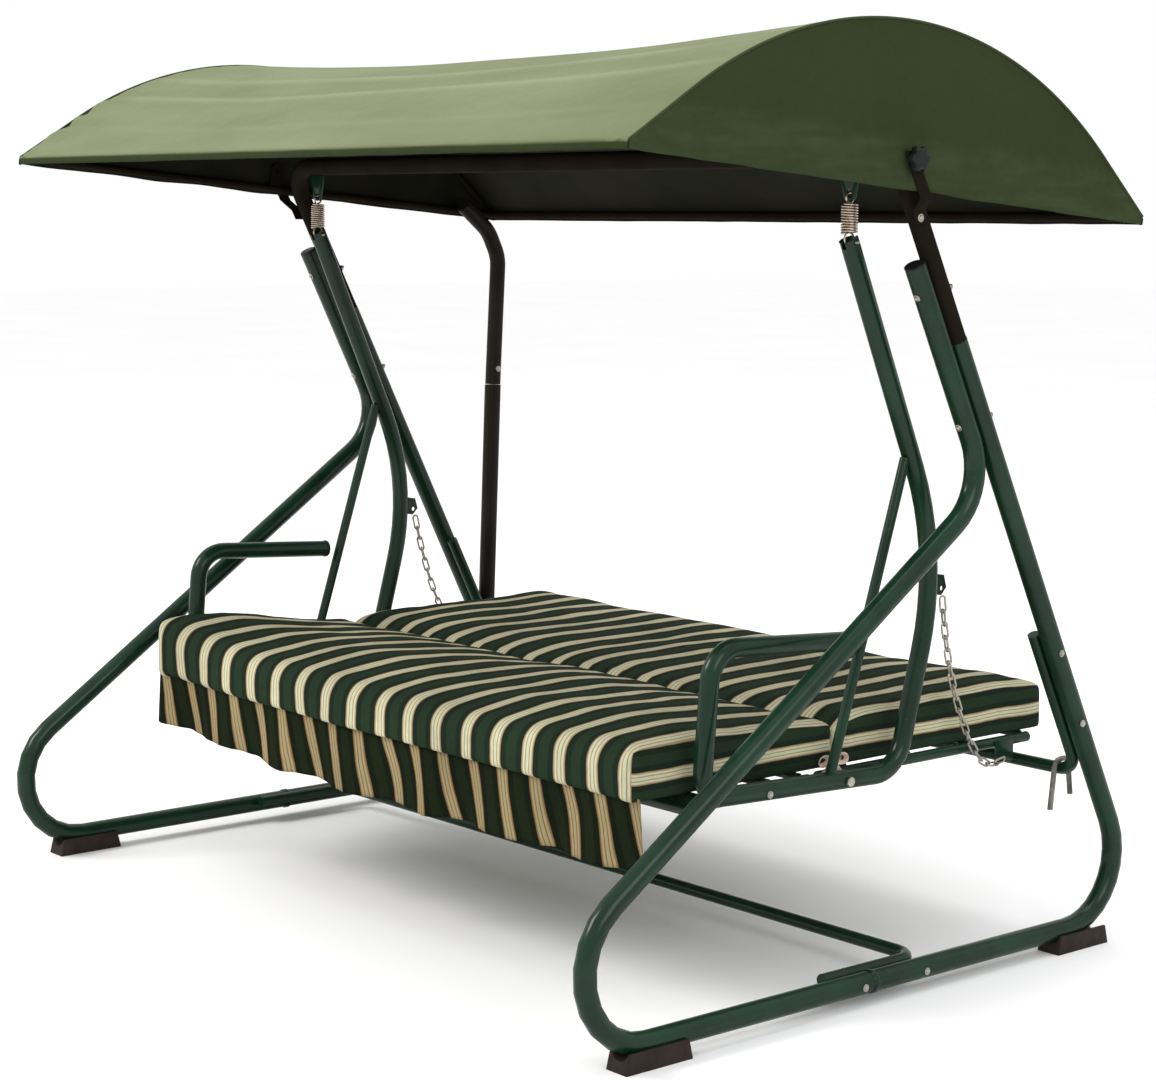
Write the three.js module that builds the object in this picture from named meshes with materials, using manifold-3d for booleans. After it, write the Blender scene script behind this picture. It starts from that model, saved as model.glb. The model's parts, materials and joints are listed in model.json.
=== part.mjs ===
// Canopy swing bench, shown with its backrest let down flat so that seat and back make a bed.
// Two bent tube side frames carry a top beam. The seat hangs from the beam on two coil springs, its backrest
// folds about two hinge pins, and a fabric canopy tilts about two hand knobs at the ends of the beam.
// Millimetres, +Z up, +X along the bench, -Y towards the sitter's feet.

import * as THREE from 'three';
import Module from 'manifold-3d';
import { mergeVertices } from 'three/addons/utils/BufferGeometryUtils.js';

const wasm = await Module();
wasm.setup();

// ---------------------------------------------------------------- driving dimensions

const GAP = 0.3;              // clearance left between touching pieces
const TUBE_SIDES = 12;
const BEND_STEPS = 9;

const MIDDLE_Y = -30.2;       // depth of the middle of the whole bench, which becomes y = 0

// Side frames
const FRAME_X = 940;          // centre plane of each side frame
const FRAME_R = 20;           // radius of the lower frame tubes
const TOP_R = 19;             // radius of the top frame, which plugs into the rear legs
const BASE_Z = 60;            // centre height of the tubes along the ground
const LEG_LEAN = 0.504;       // how far a leg moves back for each unit that it drops
const LEG_Z0 = 1502;
const LEG_Y0 = 6;             // depth of the rear leg at the height LEG_Z0
const LEG_SPACING = 46;       // depth between the rear leg and the front leg bolted before it
const BEAM_Z = 1530;
const BEAM_BEND_R = 80;
const SLEEVE_Z = 1205;        // height where the top frame enters the rear legs
const FRONT_TOP_Z = 1338;
const FRONT_KNEE_Z = 931;
const FRONT_TOE = [-1003, BASE_Z];
const REAR_HEEL_Y = leg(BASE_Z);
const BASE_JOINT_Y = -30;
const KNEE_R = 120;
const TOE_R = 134;
const HEEL_R = 135;

// Cross members
const BAR_R = 12.5;
const BAR_X = FRAME_X - FRAME_R - BAR_R - 0.5;
const BASE_BAR_Y = 120;
const BASE_BAR_Z = 70;
const BASE_BAR_END_Y = -126;
const REAR_BAR_Z = 355;
const REAR_BAR_TOP_Z = 640;
const REAR_BAR_AHEAD = 8;     // how far its upright ends sit ahead of the leg's centre line
const BAR_BEND_R = 45;

// Feet
const GROUND_Z = 20;          // height of the ground, which becomes z = 0
const FOOT_TOP_Z = 56;
const FOOT_HALF_X = 26;
const FOOT_HALF_Y = 75;
const FOOT_TOP_HALF_Y = 66;
const FRONT_FOOT_Y = -566;
const REAR_FOOT_Y = 536;

// Hanging gear
const ARM_X = 828;
const ARM_R = 18;
const HANG_Y = leg(BEAM_Z);
const HANG_Z = 1466;          // swing axis, at the holes of the spring brackets
const BRACKET_T = 5;
const COIL_TOP_Z = 1446;
const COIL_BOTTOM_Z = 1394;
const COIL_R = 16;
const HOOK_WIRE_R = 2.5;
const TOP_HOOK_R = 9;
const LOW_HOOK_R = 12;
const ARM_TOP = [HANG_Y - 1, 1384];
const ARM_KNEE = [250, 799];
const ARM_KNEE_R = 520;
const ARM_HEEL = [143, 400];
const ARM_HEEL_R = 75;
const ARM_END = [-70, 408];
const BRACE_R = 10;
const BRACE_TOP = [150, 985];
const BRACE_FOOT = [-35, 408];

// Armrests
const REST_BACK = [0, 661];
const REST_SHOULDER = [-330, 681];
const REST_TOE = [-352, 418];
const REST_SHOULDER_R = 60;
const REST_TOE_R = 50;
const CAP_LENGTH = 8;

// Seat and backrest frames
const HINGE_Y = 0;
const HINGE_Z = 405;
const RAIL_R = 15;            // seat side rails
const FRONT_BAR_R = 21.9;
const BACK_RAIL_R = 10.5;
const CROSS_R = 8;            // cross bars of the backrest, and the seat's rear bar
const SEAT_RAIL_X = ARM_X - ARM_R - RAIL_R - 1;
const SEAT_FRONT_Y = -323;
const SEAT_REAR_Y = -62;
const BACK_RAIL_X = 779.5;
const BACK_FRONT_Y = 66;
const BACK_REAR_Y = 565;
const SLAT_WIDTH = 30;
const SEAT_SLAT_T = 8;
const BACK_SLAT_T = 3;
const FRAME_TOP = 417.5;      // height of the top of both frames, just under the cushions
const SLATS = 2;

// Soft goods
const CUSHION_X = 788;
const CUSHION_BOTTOM = 419;
const CUSHION_TOP = 519;
const CUSHION_FRONT_Y = -482;
const CUSHION_REAR_Y = 632;
const SEAT_FACE_TILT = THREE.MathUtils.degToRad(22);
const BACK_FACE_TILT = THREE.MathUtils.degToRad(44);
const CUSHION_EDGE = 16;      // how much the long edges are rounded off
const VALANCE_BOTTOM = 292;
const VALANCE_T = 14;
const VALANCE_SET_BACK = 10;

// Canopy, measured from its tilt axis
const CANOPY_X = 985;
const CANOPY_TILT = THREE.MathUtils.degToRad(5.05);
const CANOPY_PIVOT = [-22, 1522];
const CANOPY_HALF = 648;      // half of the chord from front corner to rear corner
const CANOPY_RISE = 272;
const CANOPY_TAIL = THREE.MathUtils.degToRad(37);
const CHORD_OFFSET = [2.1, -37.2];
const FABRIC_T = 3;
const BOW_R = 8;
const BOW_INSET = FABRIC_T + 2 + BOW_R;
const BOW_X = CANOPY_X - BOW_INSET;
const CHORD_R = 7;
const CHORD_LIFT = -4;
const RAIL_INSET = 16;
const HEM_DROP = 10;
const PIVOT_BOLT_R = 4;
const STRAP_WIDTH = 28;
const STRAP_T = 3;
const STRAP_FOOT = [30, 1422];   // middle of the strap's end on the upper leg

// Rear post, on the left side only
const POST_R = 20;
const POST_FOOT = [565, 440];
const POST_SLEEVE = [585, 1010];
const POST_SHOULDER = [601, 1322];
const POST_NECK = [570, 1386];
const POST_TOP = [494, 1448];
const POST_BEND_R = 90;
const POST_GAP = 1.5;         // shows where the upper post enters the lower

const SIDES = [{ name: 'left', s: -1 }, { name: 'right', s: 1 }];

// Depth of a rear leg's centre line at the height z.
function leg(z) {
  return LEG_LEAN * (LEG_Z0 - z) + LEG_Y0;
}

// ---------------------------------------------------------------- materials

function material(colour, roughness, metalness) {
  return new THREE.MeshStandardMaterial({ color: colour, roughness, metalness });
}

const GREEN_PAINT = material('#1c3a2b', 0.38, 0.3);
const BROWN_PAINT = material('#3f322b', 0.42, 0.3);
const BROWN_PLASTIC = material('#3b2a26', 0.6, 0);
const BLACK_PLASTIC = material('#15171a', 0.5, 0);
const ZINC = material('#a9a598', 0.35, 0.9);
const CANOPY_CLOTH = material('#5c6b45', 0.9, 0);
const STRIPED_CLOTH = material('#3f4c3a', 0.92, 0);

// ---------------------------------------------------------------- shape helpers

// A path that visits its stations exactly, so that straight runs cost no extra rings.
class StationPath extends THREE.Curve {
  constructor(stations) {
    super();
    this.stations = stations;
  }

  getPoint(t, target = new THREE.Vector3()) {
    const last = this.stations.length - 1;
    const at = Math.min(Math.floor(t * last + 1e-6), last - 1);
    return target.lerpVectors(this.stations[at], this.stations[at + 1], t * last - at);
  }

  getTangent(t, target = new THREE.Vector3()) {
    const last = this.stations.length - 1;
    const at = Math.round(t * last);
    const before = this.stations[Math.max(at - 1, 0)];
    const after = this.stations[Math.min(at + 1, last)];
    const here = this.stations[at];
    const arriving = here.clone().sub(before).normalize();
    const leaving = after.clone().sub(here).normalize();
    return target.copy(arriving).add(leaving).normalize();
  }

  getPointAt(u, target) {
    return this.getPoint(u, target);
  }

  getTangentAt(u, target) {
    return this.getTangent(u, target);
  }

  getSpacedPoints(divisions) {
    return this.getPoints(divisions);
  }
}

// Corners joined by straight runs, each inner corner rounded by an arc of its own radius.
function bentPath(corners, radii) {
  const stations = [corners[0]];
  for (let i = 1; i < corners.length - 1; i++) {
    const corner = corners[i];
    const radius = radii[i - 1];
    const back = corners[i - 1].clone().sub(corner).normalize();
    const ahead = corners[i + 1].clone().sub(corner).normalize();
    const half = back.angleTo(ahead) / 2;
    const setback = radius / Math.tan(half);
    const middle = back.clone().add(ahead).normalize();
    const centre = corner.clone().addScaledVector(middle, radius / Math.sin(half));
    const start = corner.clone().addScaledVector(back, setback).sub(centre).normalize();
    const sweep = Math.PI - 2 * half;
    for (let k = 0; k <= BEND_STEPS; k++) {
      const angle = (sweep * k) / BEND_STEPS;
      const station = centre.clone().addScaledVector(start, radius * Math.cos(angle));
      stations.push(station.addScaledVector(back, -radius * Math.sin(angle)));
    }
  }
  stations.push(corners[corners.length - 1]);
  return new StationPath(stations);
}

function circle(radius) {
  return new THREE.Shape().absarc(0, 0, radius, 0, Math.PI * 2);
}

function tube(path, radius, sides = TUBE_SIDES) {
  const options = { extrudePath: path, steps: path.stations.length - 1, curveSegments: sides / 2 };
  return new THREE.ExtrudeGeometry(circle(radius), options);
}

function rod(from, to, radius, sides = TUBE_SIDES) {
  return tube(new StationPath([from, to]), radius, sides);
}

function point(x, y, z) {
  return new THREE.Vector3(x, y, z);
}

// Depth and height pairs, placed in the plane at x.
function inPlane(x, pairs) {
  return pairs.map(([y, z]) => point(x, y, z));
}

// An outline of depth and height pairs, made solid from one x to another.
function extrudeAcross(outline, fromX, toX) {
  const shape = new THREE.Shape(outline.map(([y, z]) => new THREE.Vector2(y, z)));
  const geometry = new THREE.ExtrudeGeometry(shape, { depth: toX - fromX, bevelEnabled: false });
  const axes = new THREE.Matrix4().makeBasis(point(0, 1, 0), point(0, 0, 1), point(1, 0, 0));
  return geometry.applyMatrix4(axes).translate(fromX, 0, 0);
}

// An outline of x and height pairs, made solid over a thickness centred on the depth y.
function extrudeAlongDepth(outline, y, thickness) {
  const shape = new THREE.Shape(outline.map(([x, z]) => new THREE.Vector2(x, z)));
  const geometry = new THREE.ExtrudeGeometry(shape, { depth: thickness, bevelEnabled: false });
  const axes = new THREE.Matrix4().makeBasis(point(1, 0, 0), point(0, 0, 1), point(0, -1, 0));
  return geometry.applyMatrix4(axes).translate(0, y + thickness / 2, 0);
}

function box(fromX, toX, fromY, toY, fromZ, toZ) {
  const geometry = new THREE.BoxGeometry(toX - fromX, toY - fromY, toZ - fromZ);
  return geometry.translate((fromX + toX) / 2, (fromY + toY) / 2, (fromZ + toZ) / 2);
}

function toSolid(geometry) {
  const bare = geometry.clone();
  bare.deleteAttribute('normal');
  bare.deleteAttribute('uv');
  const merged = mergeVertices(bare, 1e-3);
  const mesh = new wasm.Mesh({
    numProp: 3,
    vertProperties: new Float32Array(merged.attributes.position.array),
    triVerts: new Uint32Array(merged.index.array),
  });
  return new wasm.Manifold(mesh);
}

function toGeometry(solid) {
  const mesh = solid.getMesh();
  const geometry = new THREE.BufferGeometry();
  geometry.setAttribute('position', new THREE.BufferAttribute(mesh.vertProperties, 3));
  geometry.setIndex(new THREE.BufferAttribute(mesh.triVerts, 1));
  const flat = geometry.toNonIndexed();
  flat.computeVertexNormals();
  return flat;
}

function cut(geometry, ...tools) {
  const solid = tools.reduce((rest, tool) => rest.subtract(toSolid(tool)), toSolid(geometry));
  return toGeometry(solid);
}

function join(geometry, ...others) {
  const solid = others.reduce((whole, other) => whole.add(toSolid(other)), toSolid(geometry));
  return toGeometry(solid);
}

// ---------------------------------------------------------------- assembly

const assembly = new THREE.Group();
const bench = new THREE.Group();
bench.position.set(0, -MIDDLE_Y, -GROUND_Z);
assembly.add(bench);

const canopy = new THREE.Group();
canopy.position.set(0, CANOPY_PIVOT[0], CANOPY_PIVOT[1]);
canopy.rotation.x = -CANOPY_TILT;
bench.add(canopy);

function place(name, geometry, finish, parent = bench) {
  const mesh = new THREE.Mesh(geometry, finish);
  mesh.name = name;
  parent.add(mesh);
}

// ---------------------------------------------------------------- side frames

function frontLegPath(x) {
  const top = [leg(FRONT_TOP_Z) - LEG_SPACING, FRONT_TOP_Z];
  const knee = [leg(FRONT_KNEE_Z) - LEG_SPACING, FRONT_KNEE_Z];
  const end = [BASE_JOINT_Y - GAP, BASE_Z];
  return bentPath(inPlane(x, [top, knee, FRONT_TOE, end]), [KNEE_R, TOE_R]);
}

function rearLegPath(x) {
  const sleeve = [leg(SLEEVE_Z - GAP), SLEEVE_Z - GAP];
  const heel = [REAR_HEEL_Y, BASE_Z];
  const end = [BASE_JOINT_Y, BASE_Z];
  return bentPath(inPlane(x, [sleeve, heel, end]), [HEEL_R]);
}

function topFramePath() {
  const corners = [
    point(-FRAME_X, leg(SLEEVE_Z), SLEEVE_Z),
    point(-FRAME_X, leg(BEAM_Z), BEAM_Z),
    point(FRAME_X, leg(BEAM_Z), BEAM_Z),
    point(FRAME_X, leg(SLEEVE_Z), SLEEVE_Z),
  ];
  return bentPath(corners, [BEAM_BEND_R, BEAM_BEND_R]);
}

// A block with sloping ends and a round bed in its top for the ground tube.
function foot(x, y) {
  const half = FOOT_HALF_Y;
  const topHalf = FOOT_TOP_HALF_Y;
  const outline = [
    [y - half, GROUND_Z], [y + half, GROUND_Z], [y + topHalf, FOOT_TOP_Z], [y - topHalf, FOOT_TOP_Z],
  ];
  const block = extrudeAcross(outline, x - FOOT_HALF_X, x + FOOT_HALF_X);
  const bed = rod(point(x, y - 2 * half, BASE_Z), point(x, y + 2 * half, BASE_Z), FRAME_R + 1);
  return cut(block, bed);
}

place('top_frame', tube(topFramePath(), TOP_R), GREEN_PAINT);

for (const { name, s } of SIDES) {
  const x = s * FRAME_X;
  place(`front_leg_${name}`, tube(frontLegPath(x), FRAME_R), GREEN_PAINT);
  place(`rear_leg_${name}`, tube(rearLegPath(x), FRAME_R), GREEN_PAINT);
  place(`foot_front_${name}`, foot(x, FRONT_FOOT_Y), BROWN_PLASTIC);
  place(`foot_rear_${name}`, foot(x, REAR_FOOT_Y), BROWN_PLASTIC);
}

// ---------------------------------------------------------------- cross members

function baseCrossbarPath() {
  const corners = [
    point(-BAR_X, BASE_BAR_END_Y, BASE_BAR_Z),
    point(-BAR_X, BASE_BAR_Y, BASE_BAR_Z),
    point(BAR_X, BASE_BAR_Y, BASE_BAR_Z),
    point(BAR_X, BASE_BAR_END_Y, BASE_BAR_Z),
  ];
  return bentPath(corners, [BAR_BEND_R, BAR_BEND_R]);
}

function rearBarY(z) {
  return leg(z) - REAR_BAR_AHEAD;
}

function rearCrossbarPath() {
  const corners = [
    point(-BAR_X, rearBarY(REAR_BAR_TOP_Z), REAR_BAR_TOP_Z),
    point(-BAR_X, rearBarY(REAR_BAR_Z), REAR_BAR_Z),
    point(BAR_X, rearBarY(REAR_BAR_Z), REAR_BAR_Z),
    point(BAR_X, rearBarY(REAR_BAR_TOP_Z), REAR_BAR_TOP_Z),
  ];
  return bentPath(corners, [BAR_BEND_R, BAR_BEND_R]);
}

// A bent wire that straddles the rear crossbar near its right end, one prong longer than the other.
function wireClip() {
  const wireR = 5.5;
  const x = BAR_X - 40;
  const y = rearBarY(REAR_BAR_Z);
  const reach = BAR_R + wireR + 1;
  const crown = REAR_BAR_Z + reach;
  const corners = [[y - reach - 12, crown - 98], [y - reach, crown], [y + reach, crown], [y + reach + 10, crown - 74]];
  return tube(bentPath(inPlane(x, corners), [reach - 1, reach - 3]), wireR, 8);
}

place('base_crossbar', tube(baseCrossbarPath(), BAR_R), GREEN_PAINT);
place('rear_crossbar', tube(rearCrossbarPath(), BAR_R), GREEN_PAINT);
place('crossbar_clip', wireClip(), ZINC);

// ---------------------------------------------------------------- rear post, left side only

function rearPost() {
  const x = -FRAME_X;
  const legTool = tube(rearLegPath(x), FRAME_R + POST_GAP);
  const lower = cut(rod(...inPlane(x, [POST_FOOT, POST_SLEEVE]), POST_R), legTool);
  const upperStart = [POST_SLEEVE[0], POST_SLEEVE[1] + POST_GAP];
  const corners = inPlane(x, [upperStart, POST_SHOULDER, POST_NECK, POST_TOP]);
  const upperPath = bentPath(corners, [POST_BEND_R, POST_BEND_R]);
  place('rear_post_lower', lower, BROWN_PAINT);
  place('rear_post_upper', tube(upperPath, POST_R - 1), BROWN_PAINT);
}

rearPost();

// ---------------------------------------------------------------- springs and hanger arms

// A plate under the beam, with a hole on the swing axis for the spring's hook.
function springBracket(s) {
  const x = s * ARM_X;
  const top = BEAM_Z - TOP_R - GAP;
  const low = HANG_Z - 12;
  const outline = [[x - 26, top], [x - 13, low], [x + 13, low], [x + 26, top]];
  const plate = extrudeAlongDepth(outline, HANG_Y, BRACKET_T);
  const hole = rod(point(x, HANG_Y - 20, HANG_Z), point(x, HANG_Y + 20, HANG_Z), 6);
  return cut(plate, hole);
}

function hook(x, z, radius) {
  const ring = new THREE.TorusGeometry(radius, HOOK_WIRE_R, 8, 14);
  return ring.rotateY(Math.PI / 2).translate(x, HANG_Y, z);
}

// A close-wound coil, drawn as its outer shape, with a ring hook at each end.
function spring(s) {
  const x = s * ARM_X;
  const coil = rod(point(x, HANG_Y, COIL_BOTTOM_Z), point(x, HANG_Y, COIL_TOP_Z), COIL_R);
  const upper = hook(x, HANG_Z - TOP_HOOK_R, TOP_HOOK_R);
  const lower = hook(x, COIL_BOTTOM_Z - LOW_HOOK_R + HOOK_WIRE_R, LOW_HOOK_R);
  return join(coil, upper, lower);
}

const SPRING_PIN_R = 3;
const SPRING_PIN_Z = COIL_BOTTOM_Z - 2 * LOW_HOOK_R + 2 * HOOK_WIRE_R + SPRING_PIN_R + GAP;

function armPath(x) {
  const corners = inPlane(x, [ARM_TOP, ARM_KNEE, ARM_HEEL, ARM_END]);
  return bentPath(corners, [ARM_KNEE_R, ARM_HEEL_R]);
}

const HOOK_TAB_T = 4;
const HOOK_TAB_Z = [722, 768];
const HOOK_HOLE = [257, 735];

// A tab welded to the back of the hanger arm; the chain's first link goes through its hole.
function hookTab(x) {
  const [low, high] = HOOK_TAB_Z;
  const outline = [[215, low + 6], [255, low], [269, low + 14], [262, high - 8], [215, high]];
  const tab = extrudeAcross(outline, x - HOOK_TAB_T / 2, x + HOOK_TAB_T / 2);
  const [holeY, holeZ] = HOOK_HOLE;
  return cut(tab, rod(point(x - 9, holeY, holeZ), point(x + 9, holeY, holeZ), 5));
}

// The hanger arm, with the chain's tab, forked at its top for the spring's hook and bored for the backrest hinge.
function hangerArm(s) {
  const x = s * ARM_X;
  const slot = box(x - 4.5, x + 4.5, HANG_Y - 40, HANG_Y + 40, SPRING_PIN_Z - 13, COIL_BOTTOM_Z + 20);
  const pinHole = rod(point(x - 40, HANG_Y, SPRING_PIN_Z), point(x + 40, HANG_Y, SPRING_PIN_Z), SPRING_PIN_R + 0.5);
  const hingeHole = rod(point(x - 40, HINGE_Y, HINGE_Z), point(x + 40, HINGE_Y, HINGE_Z), PIVOT_BOLT_R + 0.6);
  const welded = join(tube(armPath(x), ARM_R), hookTab(x));
  return cut(welded, slot, pinHole, hingeHole);
}

function brace(s) {
  const x = s * ARM_X;
  const bar = rod(...inPlane(x, [BRACE_TOP, BRACE_FOOT]), BRACE_R);
  return cut(bar, tube(armPath(x), ARM_R + GAP));
}

for (const { name, s } of SIDES) {
  const x = s * ARM_X;
  const pinEnds = [point(x - 23, HANG_Y, SPRING_PIN_Z), point(x + 23, HANG_Y, SPRING_PIN_Z)];
  place(`spring_bracket_${name}`, springBracket(s), GREEN_PAINT);
  place(`spring_${name}`, spring(s), ZINC);
  place(`spring_pin_${name}`, rod(...pinEnds, SPRING_PIN_R), ZINC);
  place(`hanger_arm_${name}`, hangerArm(s), GREEN_PAINT);
  place(`arm_brace_${name}`, brace(s), GREEN_PAINT);
}

// ---------------------------------------------------------------- armrests

for (const { name, s } of SIDES) {
  const x = s * ARM_X;
  const end = [ARM_END[0] - GAP, ARM_END[1]];
  const corners = inPlane(x, [REST_BACK, REST_SHOULDER, REST_TOE, end]);
  const path = bentPath(corners, [REST_SHOULDER_R, REST_TOE_R]);
  const outward = corners[0].clone().sub(corners[1]).normalize();
  const capFrom = corners[0].clone().addScaledVector(outward, GAP);
  const capTo = corners[0].clone().addScaledVector(outward, CAP_LENGTH);
  place(`armrest_${name}`, tube(path, ARM_R), GREEN_PAINT);
  place(`armrest_cap_${name}`, rod(capFrom, capTo, ARM_R + 1), BLACK_PLASTIC);
}

// ---------------------------------------------------------------- seat and backrest frames

function crossBar(name, halfLength, y, radius) {
  const z = FRAME_TOP - radius;
  place(name, rod(point(-halfLength, y, z), point(halfLength, y, z), radius), GREEN_PAINT);
}

function slatSet(prefix, halfLength, fromY, toY, thickness) {
  const step = (toY - fromY) / (SLATS + 1);
  const top = FRAME_TOP - 2;
  for (let i = 1; i <= SLATS; i++) {
    const y = fromY + i * step;
    const slat = box(-halfLength, halfLength, y - SLAT_WIDTH / 2, y + SLAT_WIDTH / 2, top - thickness, top);
    place(`${prefix}_slat_${i}`, slat, GREEN_PAINT);
  }
}

function seatFrame() {
  const inner = SEAT_RAIL_X - RAIL_R - GAP;
  const z = FRAME_TOP - RAIL_R;
  for (const { name, s } of SIDES) {
    const x = s * SEAT_RAIL_X;
    const ends = [point(x, SEAT_FRONT_Y - FRONT_BAR_R, z), point(x, SEAT_REAR_Y + CROSS_R, z)];
    place(`seat_rail_${name}`, rod(...ends, RAIL_R), GREEN_PAINT);
  }
  crossBar('seat_front_bar', inner, SEAT_FRONT_Y, FRONT_BAR_R);
  crossBar('seat_rear_bar', inner, SEAT_REAR_Y, CROSS_R);
  slatSet('seat', inner, SEAT_FRONT_Y, SEAT_REAR_Y, SEAT_SLAT_T);
}

// A bolt from the outside of the arm into the backrest rail, with its head outside.
function hingePin(s) {
  const shaftEnd = s * (BACK_RAIL_X - BACK_RAIL_R - 4);
  const headInner = s * (ARM_X + ARM_R + GAP);
  const headOuter = s * (ARM_X + ARM_R + 6);
  const shaft = rod(point(shaftEnd, HINGE_Y, HINGE_Z), point(headOuter, HINGE_Y, HINGE_Z), PIVOT_BOLT_R);
  const head = rod(point(headInner, HINGE_Y, HINGE_Z), point(headOuter, HINGE_Y, HINGE_Z), 9);
  return join(shaft, head);
}

function backrestFrame() {
  const inner = BACK_RAIL_X - BACK_RAIL_R - GAP;
  for (const { name, s } of SIDES) {
    const x = s * BACK_RAIL_X;
    const rail = rod(point(x, HINGE_Y - 16, HINGE_Z), point(x, BACK_REAR_Y + CROSS_R, HINGE_Z), BACK_RAIL_R);
    const bore = rod(point(x - 20, HINGE_Y, HINGE_Z), point(x + 20, HINGE_Y, HINGE_Z), PIVOT_BOLT_R + 0.6);
    place(`backrest_rail_${name}`, cut(rail, bore), GREEN_PAINT);
    place(`hinge_pin_${name}`, hingePin(s), ZINC);
  }
  crossBar('backrest_front_bar', inner, BACK_FRONT_Y, CROSS_R);
  crossBar('backrest_rear_bar', inner, BACK_REAR_Y, CROSS_R);
  slatSet('backrest', inner, BACK_FRONT_Y, BACK_REAR_Y, BACK_SLAT_T);
}

seatFrame();
backrestFrame();

// ---------------------------------------------------------------- chains that hold the backrest

const LUG_Y = 497;
const LUG_T = 3;
const CHAIN_R = 7;
const CHAIN_X = BACK_RAIL_X + BACK_RAIL_R + 11;

// An upright lug on the outside of the backrest rail, with a stud for the chain's last link.
function chainLug(s) {
  const inner = BACK_RAIL_X + BACK_RAIL_R + GAP;
  const plate = box(inner, inner + LUG_T, LUG_Y - 32, LUG_Y + 22, HINGE_Z - 38, HINGE_Z + 6);
  return s > 0 ? plate : plate.translate(-(2 * inner + LUG_T), 0, 0);
}

// The slack chain, drawn as the tube that its links fill.
function chain(s) {
  const drop = [
    [259, 722], [264, 708], [271, 670], [280, 633], [291, 593], [304, 553], [321, 511], [341, 471],
    [360, 438], [380, 410], [402, 386], [428, 372], [452, 370], [470, 374], [484, 382],
  ];
  const last = drop.length - 1;
  const stations = drop.map(([y, z], i) => point(s * (ARM_X - (ARM_X - CHAIN_X) * (i / last)), y, z));
  return tube(new StationPath(stations), CHAIN_R, 8);
}

for (const { name, s } of SIDES) {
  place(`chain_lug_${name}`, chainLug(s), GREEN_PAINT);
  place(`chain_${name}`, chain(s), ZINC);
}

// ---------------------------------------------------------------- cushions and valance

// Both cushions stop at planes through the hinge line, so that the backrest can fold up between them.
function cushions() {
  const rise = CUSHION_TOP - HINGE_Z;
  const lift = CUSHION_BOTTOM - HINGE_Z;
  const edge = CUSHION_EDGE;
  const front = CUSHION_FRONT_Y;
  const rear = CUSHION_REAR_Y;
  const seatOutline = [
    [front + edge, CUSHION_BOTTOM], [HINGE_Y - lift * Math.tan(SEAT_FACE_TILT), CUSHION_BOTTOM],
    [HINGE_Y - rise * Math.tan(SEAT_FACE_TILT), CUSHION_TOP], [front + edge, CUSHION_TOP],
    [front, CUSHION_TOP - edge], [front, CUSHION_BOTTOM + edge],
  ];
  const backOutline = [
    [HINGE_Y + lift * Math.tan(BACK_FACE_TILT), CUSHION_BOTTOM], [rear - edge, CUSHION_BOTTOM],
    [rear, CUSHION_BOTTOM + edge], [rear, CUSHION_TOP - edge], [rear - edge, CUSHION_TOP],
    [HINGE_Y + rise * Math.tan(BACK_FACE_TILT), CUSHION_TOP],
  ];
  place('seat_cushion', extrudeAcross(seatOutline, -CUSHION_X, CUSHION_X), STRIPED_CLOTH);
  place('backrest_cushion', extrudeAcross(backOutline, -CUSHION_X, CUSHION_X), STRIPED_CLOTH);
}

function valance() {
  const y = CUSHION_FRONT_Y + VALANCE_SET_BACK;
  return box(-CUSHION_X, CUSHION_X, y, y + VALANCE_T, VALANCE_BOTTOM, CUSHION_BOTTOM - GAP);
}

cushions();
place('seat_valance', valance(), STRIPED_CLOTH);

// ---------------------------------------------------------------- canopy

const [CHORD_U, CHORD_V] = CHORD_OFFSET;
const TAN_TAIL = Math.tan(CANOPY_TAIL);
const ARCH_R = (CANOPY_HALF * TAN_TAIL - CANOPY_RISE)
  / (Math.sin(CANOPY_TAIL) * TAN_TAIL - 1 + Math.cos(CANOPY_TAIL));

// Points of an arch kept a set distance inside the canopy's outer skin: a round crown between straight tails.
function archPoints(inset, halfDepth, steps = 18) {
  const radius = ARCH_R - inset;
  const tailU = radius * Math.sin(CANOPY_TAIL);
  const tailV = CANOPY_RISE - ARCH_R + radius * Math.cos(CANOPY_TAIL);
  const endV = tailV - (halfDepth - tailU) * TAN_TAIL;
  const points = [[-halfDepth, endV]];
  for (let i = 0; i <= steps; i++) {
    const angle = CANOPY_TAIL * ((2 * i) / steps - 1);
    points.push([radius * Math.sin(angle), CANOPY_RISE - ARCH_R + radius * Math.cos(angle)]);
  }
  points.push([halfDepth, endV]);
  return points.map(([u, v]) => [u + CHORD_U, v + CHORD_V]);
}

// One fabric shell: roof, two side panels and a short hem, open below, with a hole at each knob.
function canopyFabric() {
  const half = CANOPY_HALF;
  const hem = CHORD_V - HEM_DROP;
  const outer = [[CHORD_U + half, hem], ...archPoints(0, half).reverse(), [CHORD_U - half, hem],
    [CHORD_U, CHORD_V + 2]].reverse();
  const innerHalf = half - FABRIC_T;
  const floor = hem - 60;
  const inner = [[CHORD_U - innerHalf, floor], [CHORD_U + innerHalf, floor],
    ...archPoints(FABRIC_T, innerHalf).reverse()];
  const shell = extrudeAcross(outer, -CANOPY_X, CANOPY_X);
  const hollow = extrudeAcross(inner, FABRIC_T - CANOPY_X, CANOPY_X - FABRIC_T);
  const knobHoles = rod(point(-CANOPY_X - 20, 0, 0), point(CANOPY_X + 20, 0, 0), PIVOT_BOLT_R + 3);
  return cut(shell, hollow, knobHoles);
}

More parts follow.
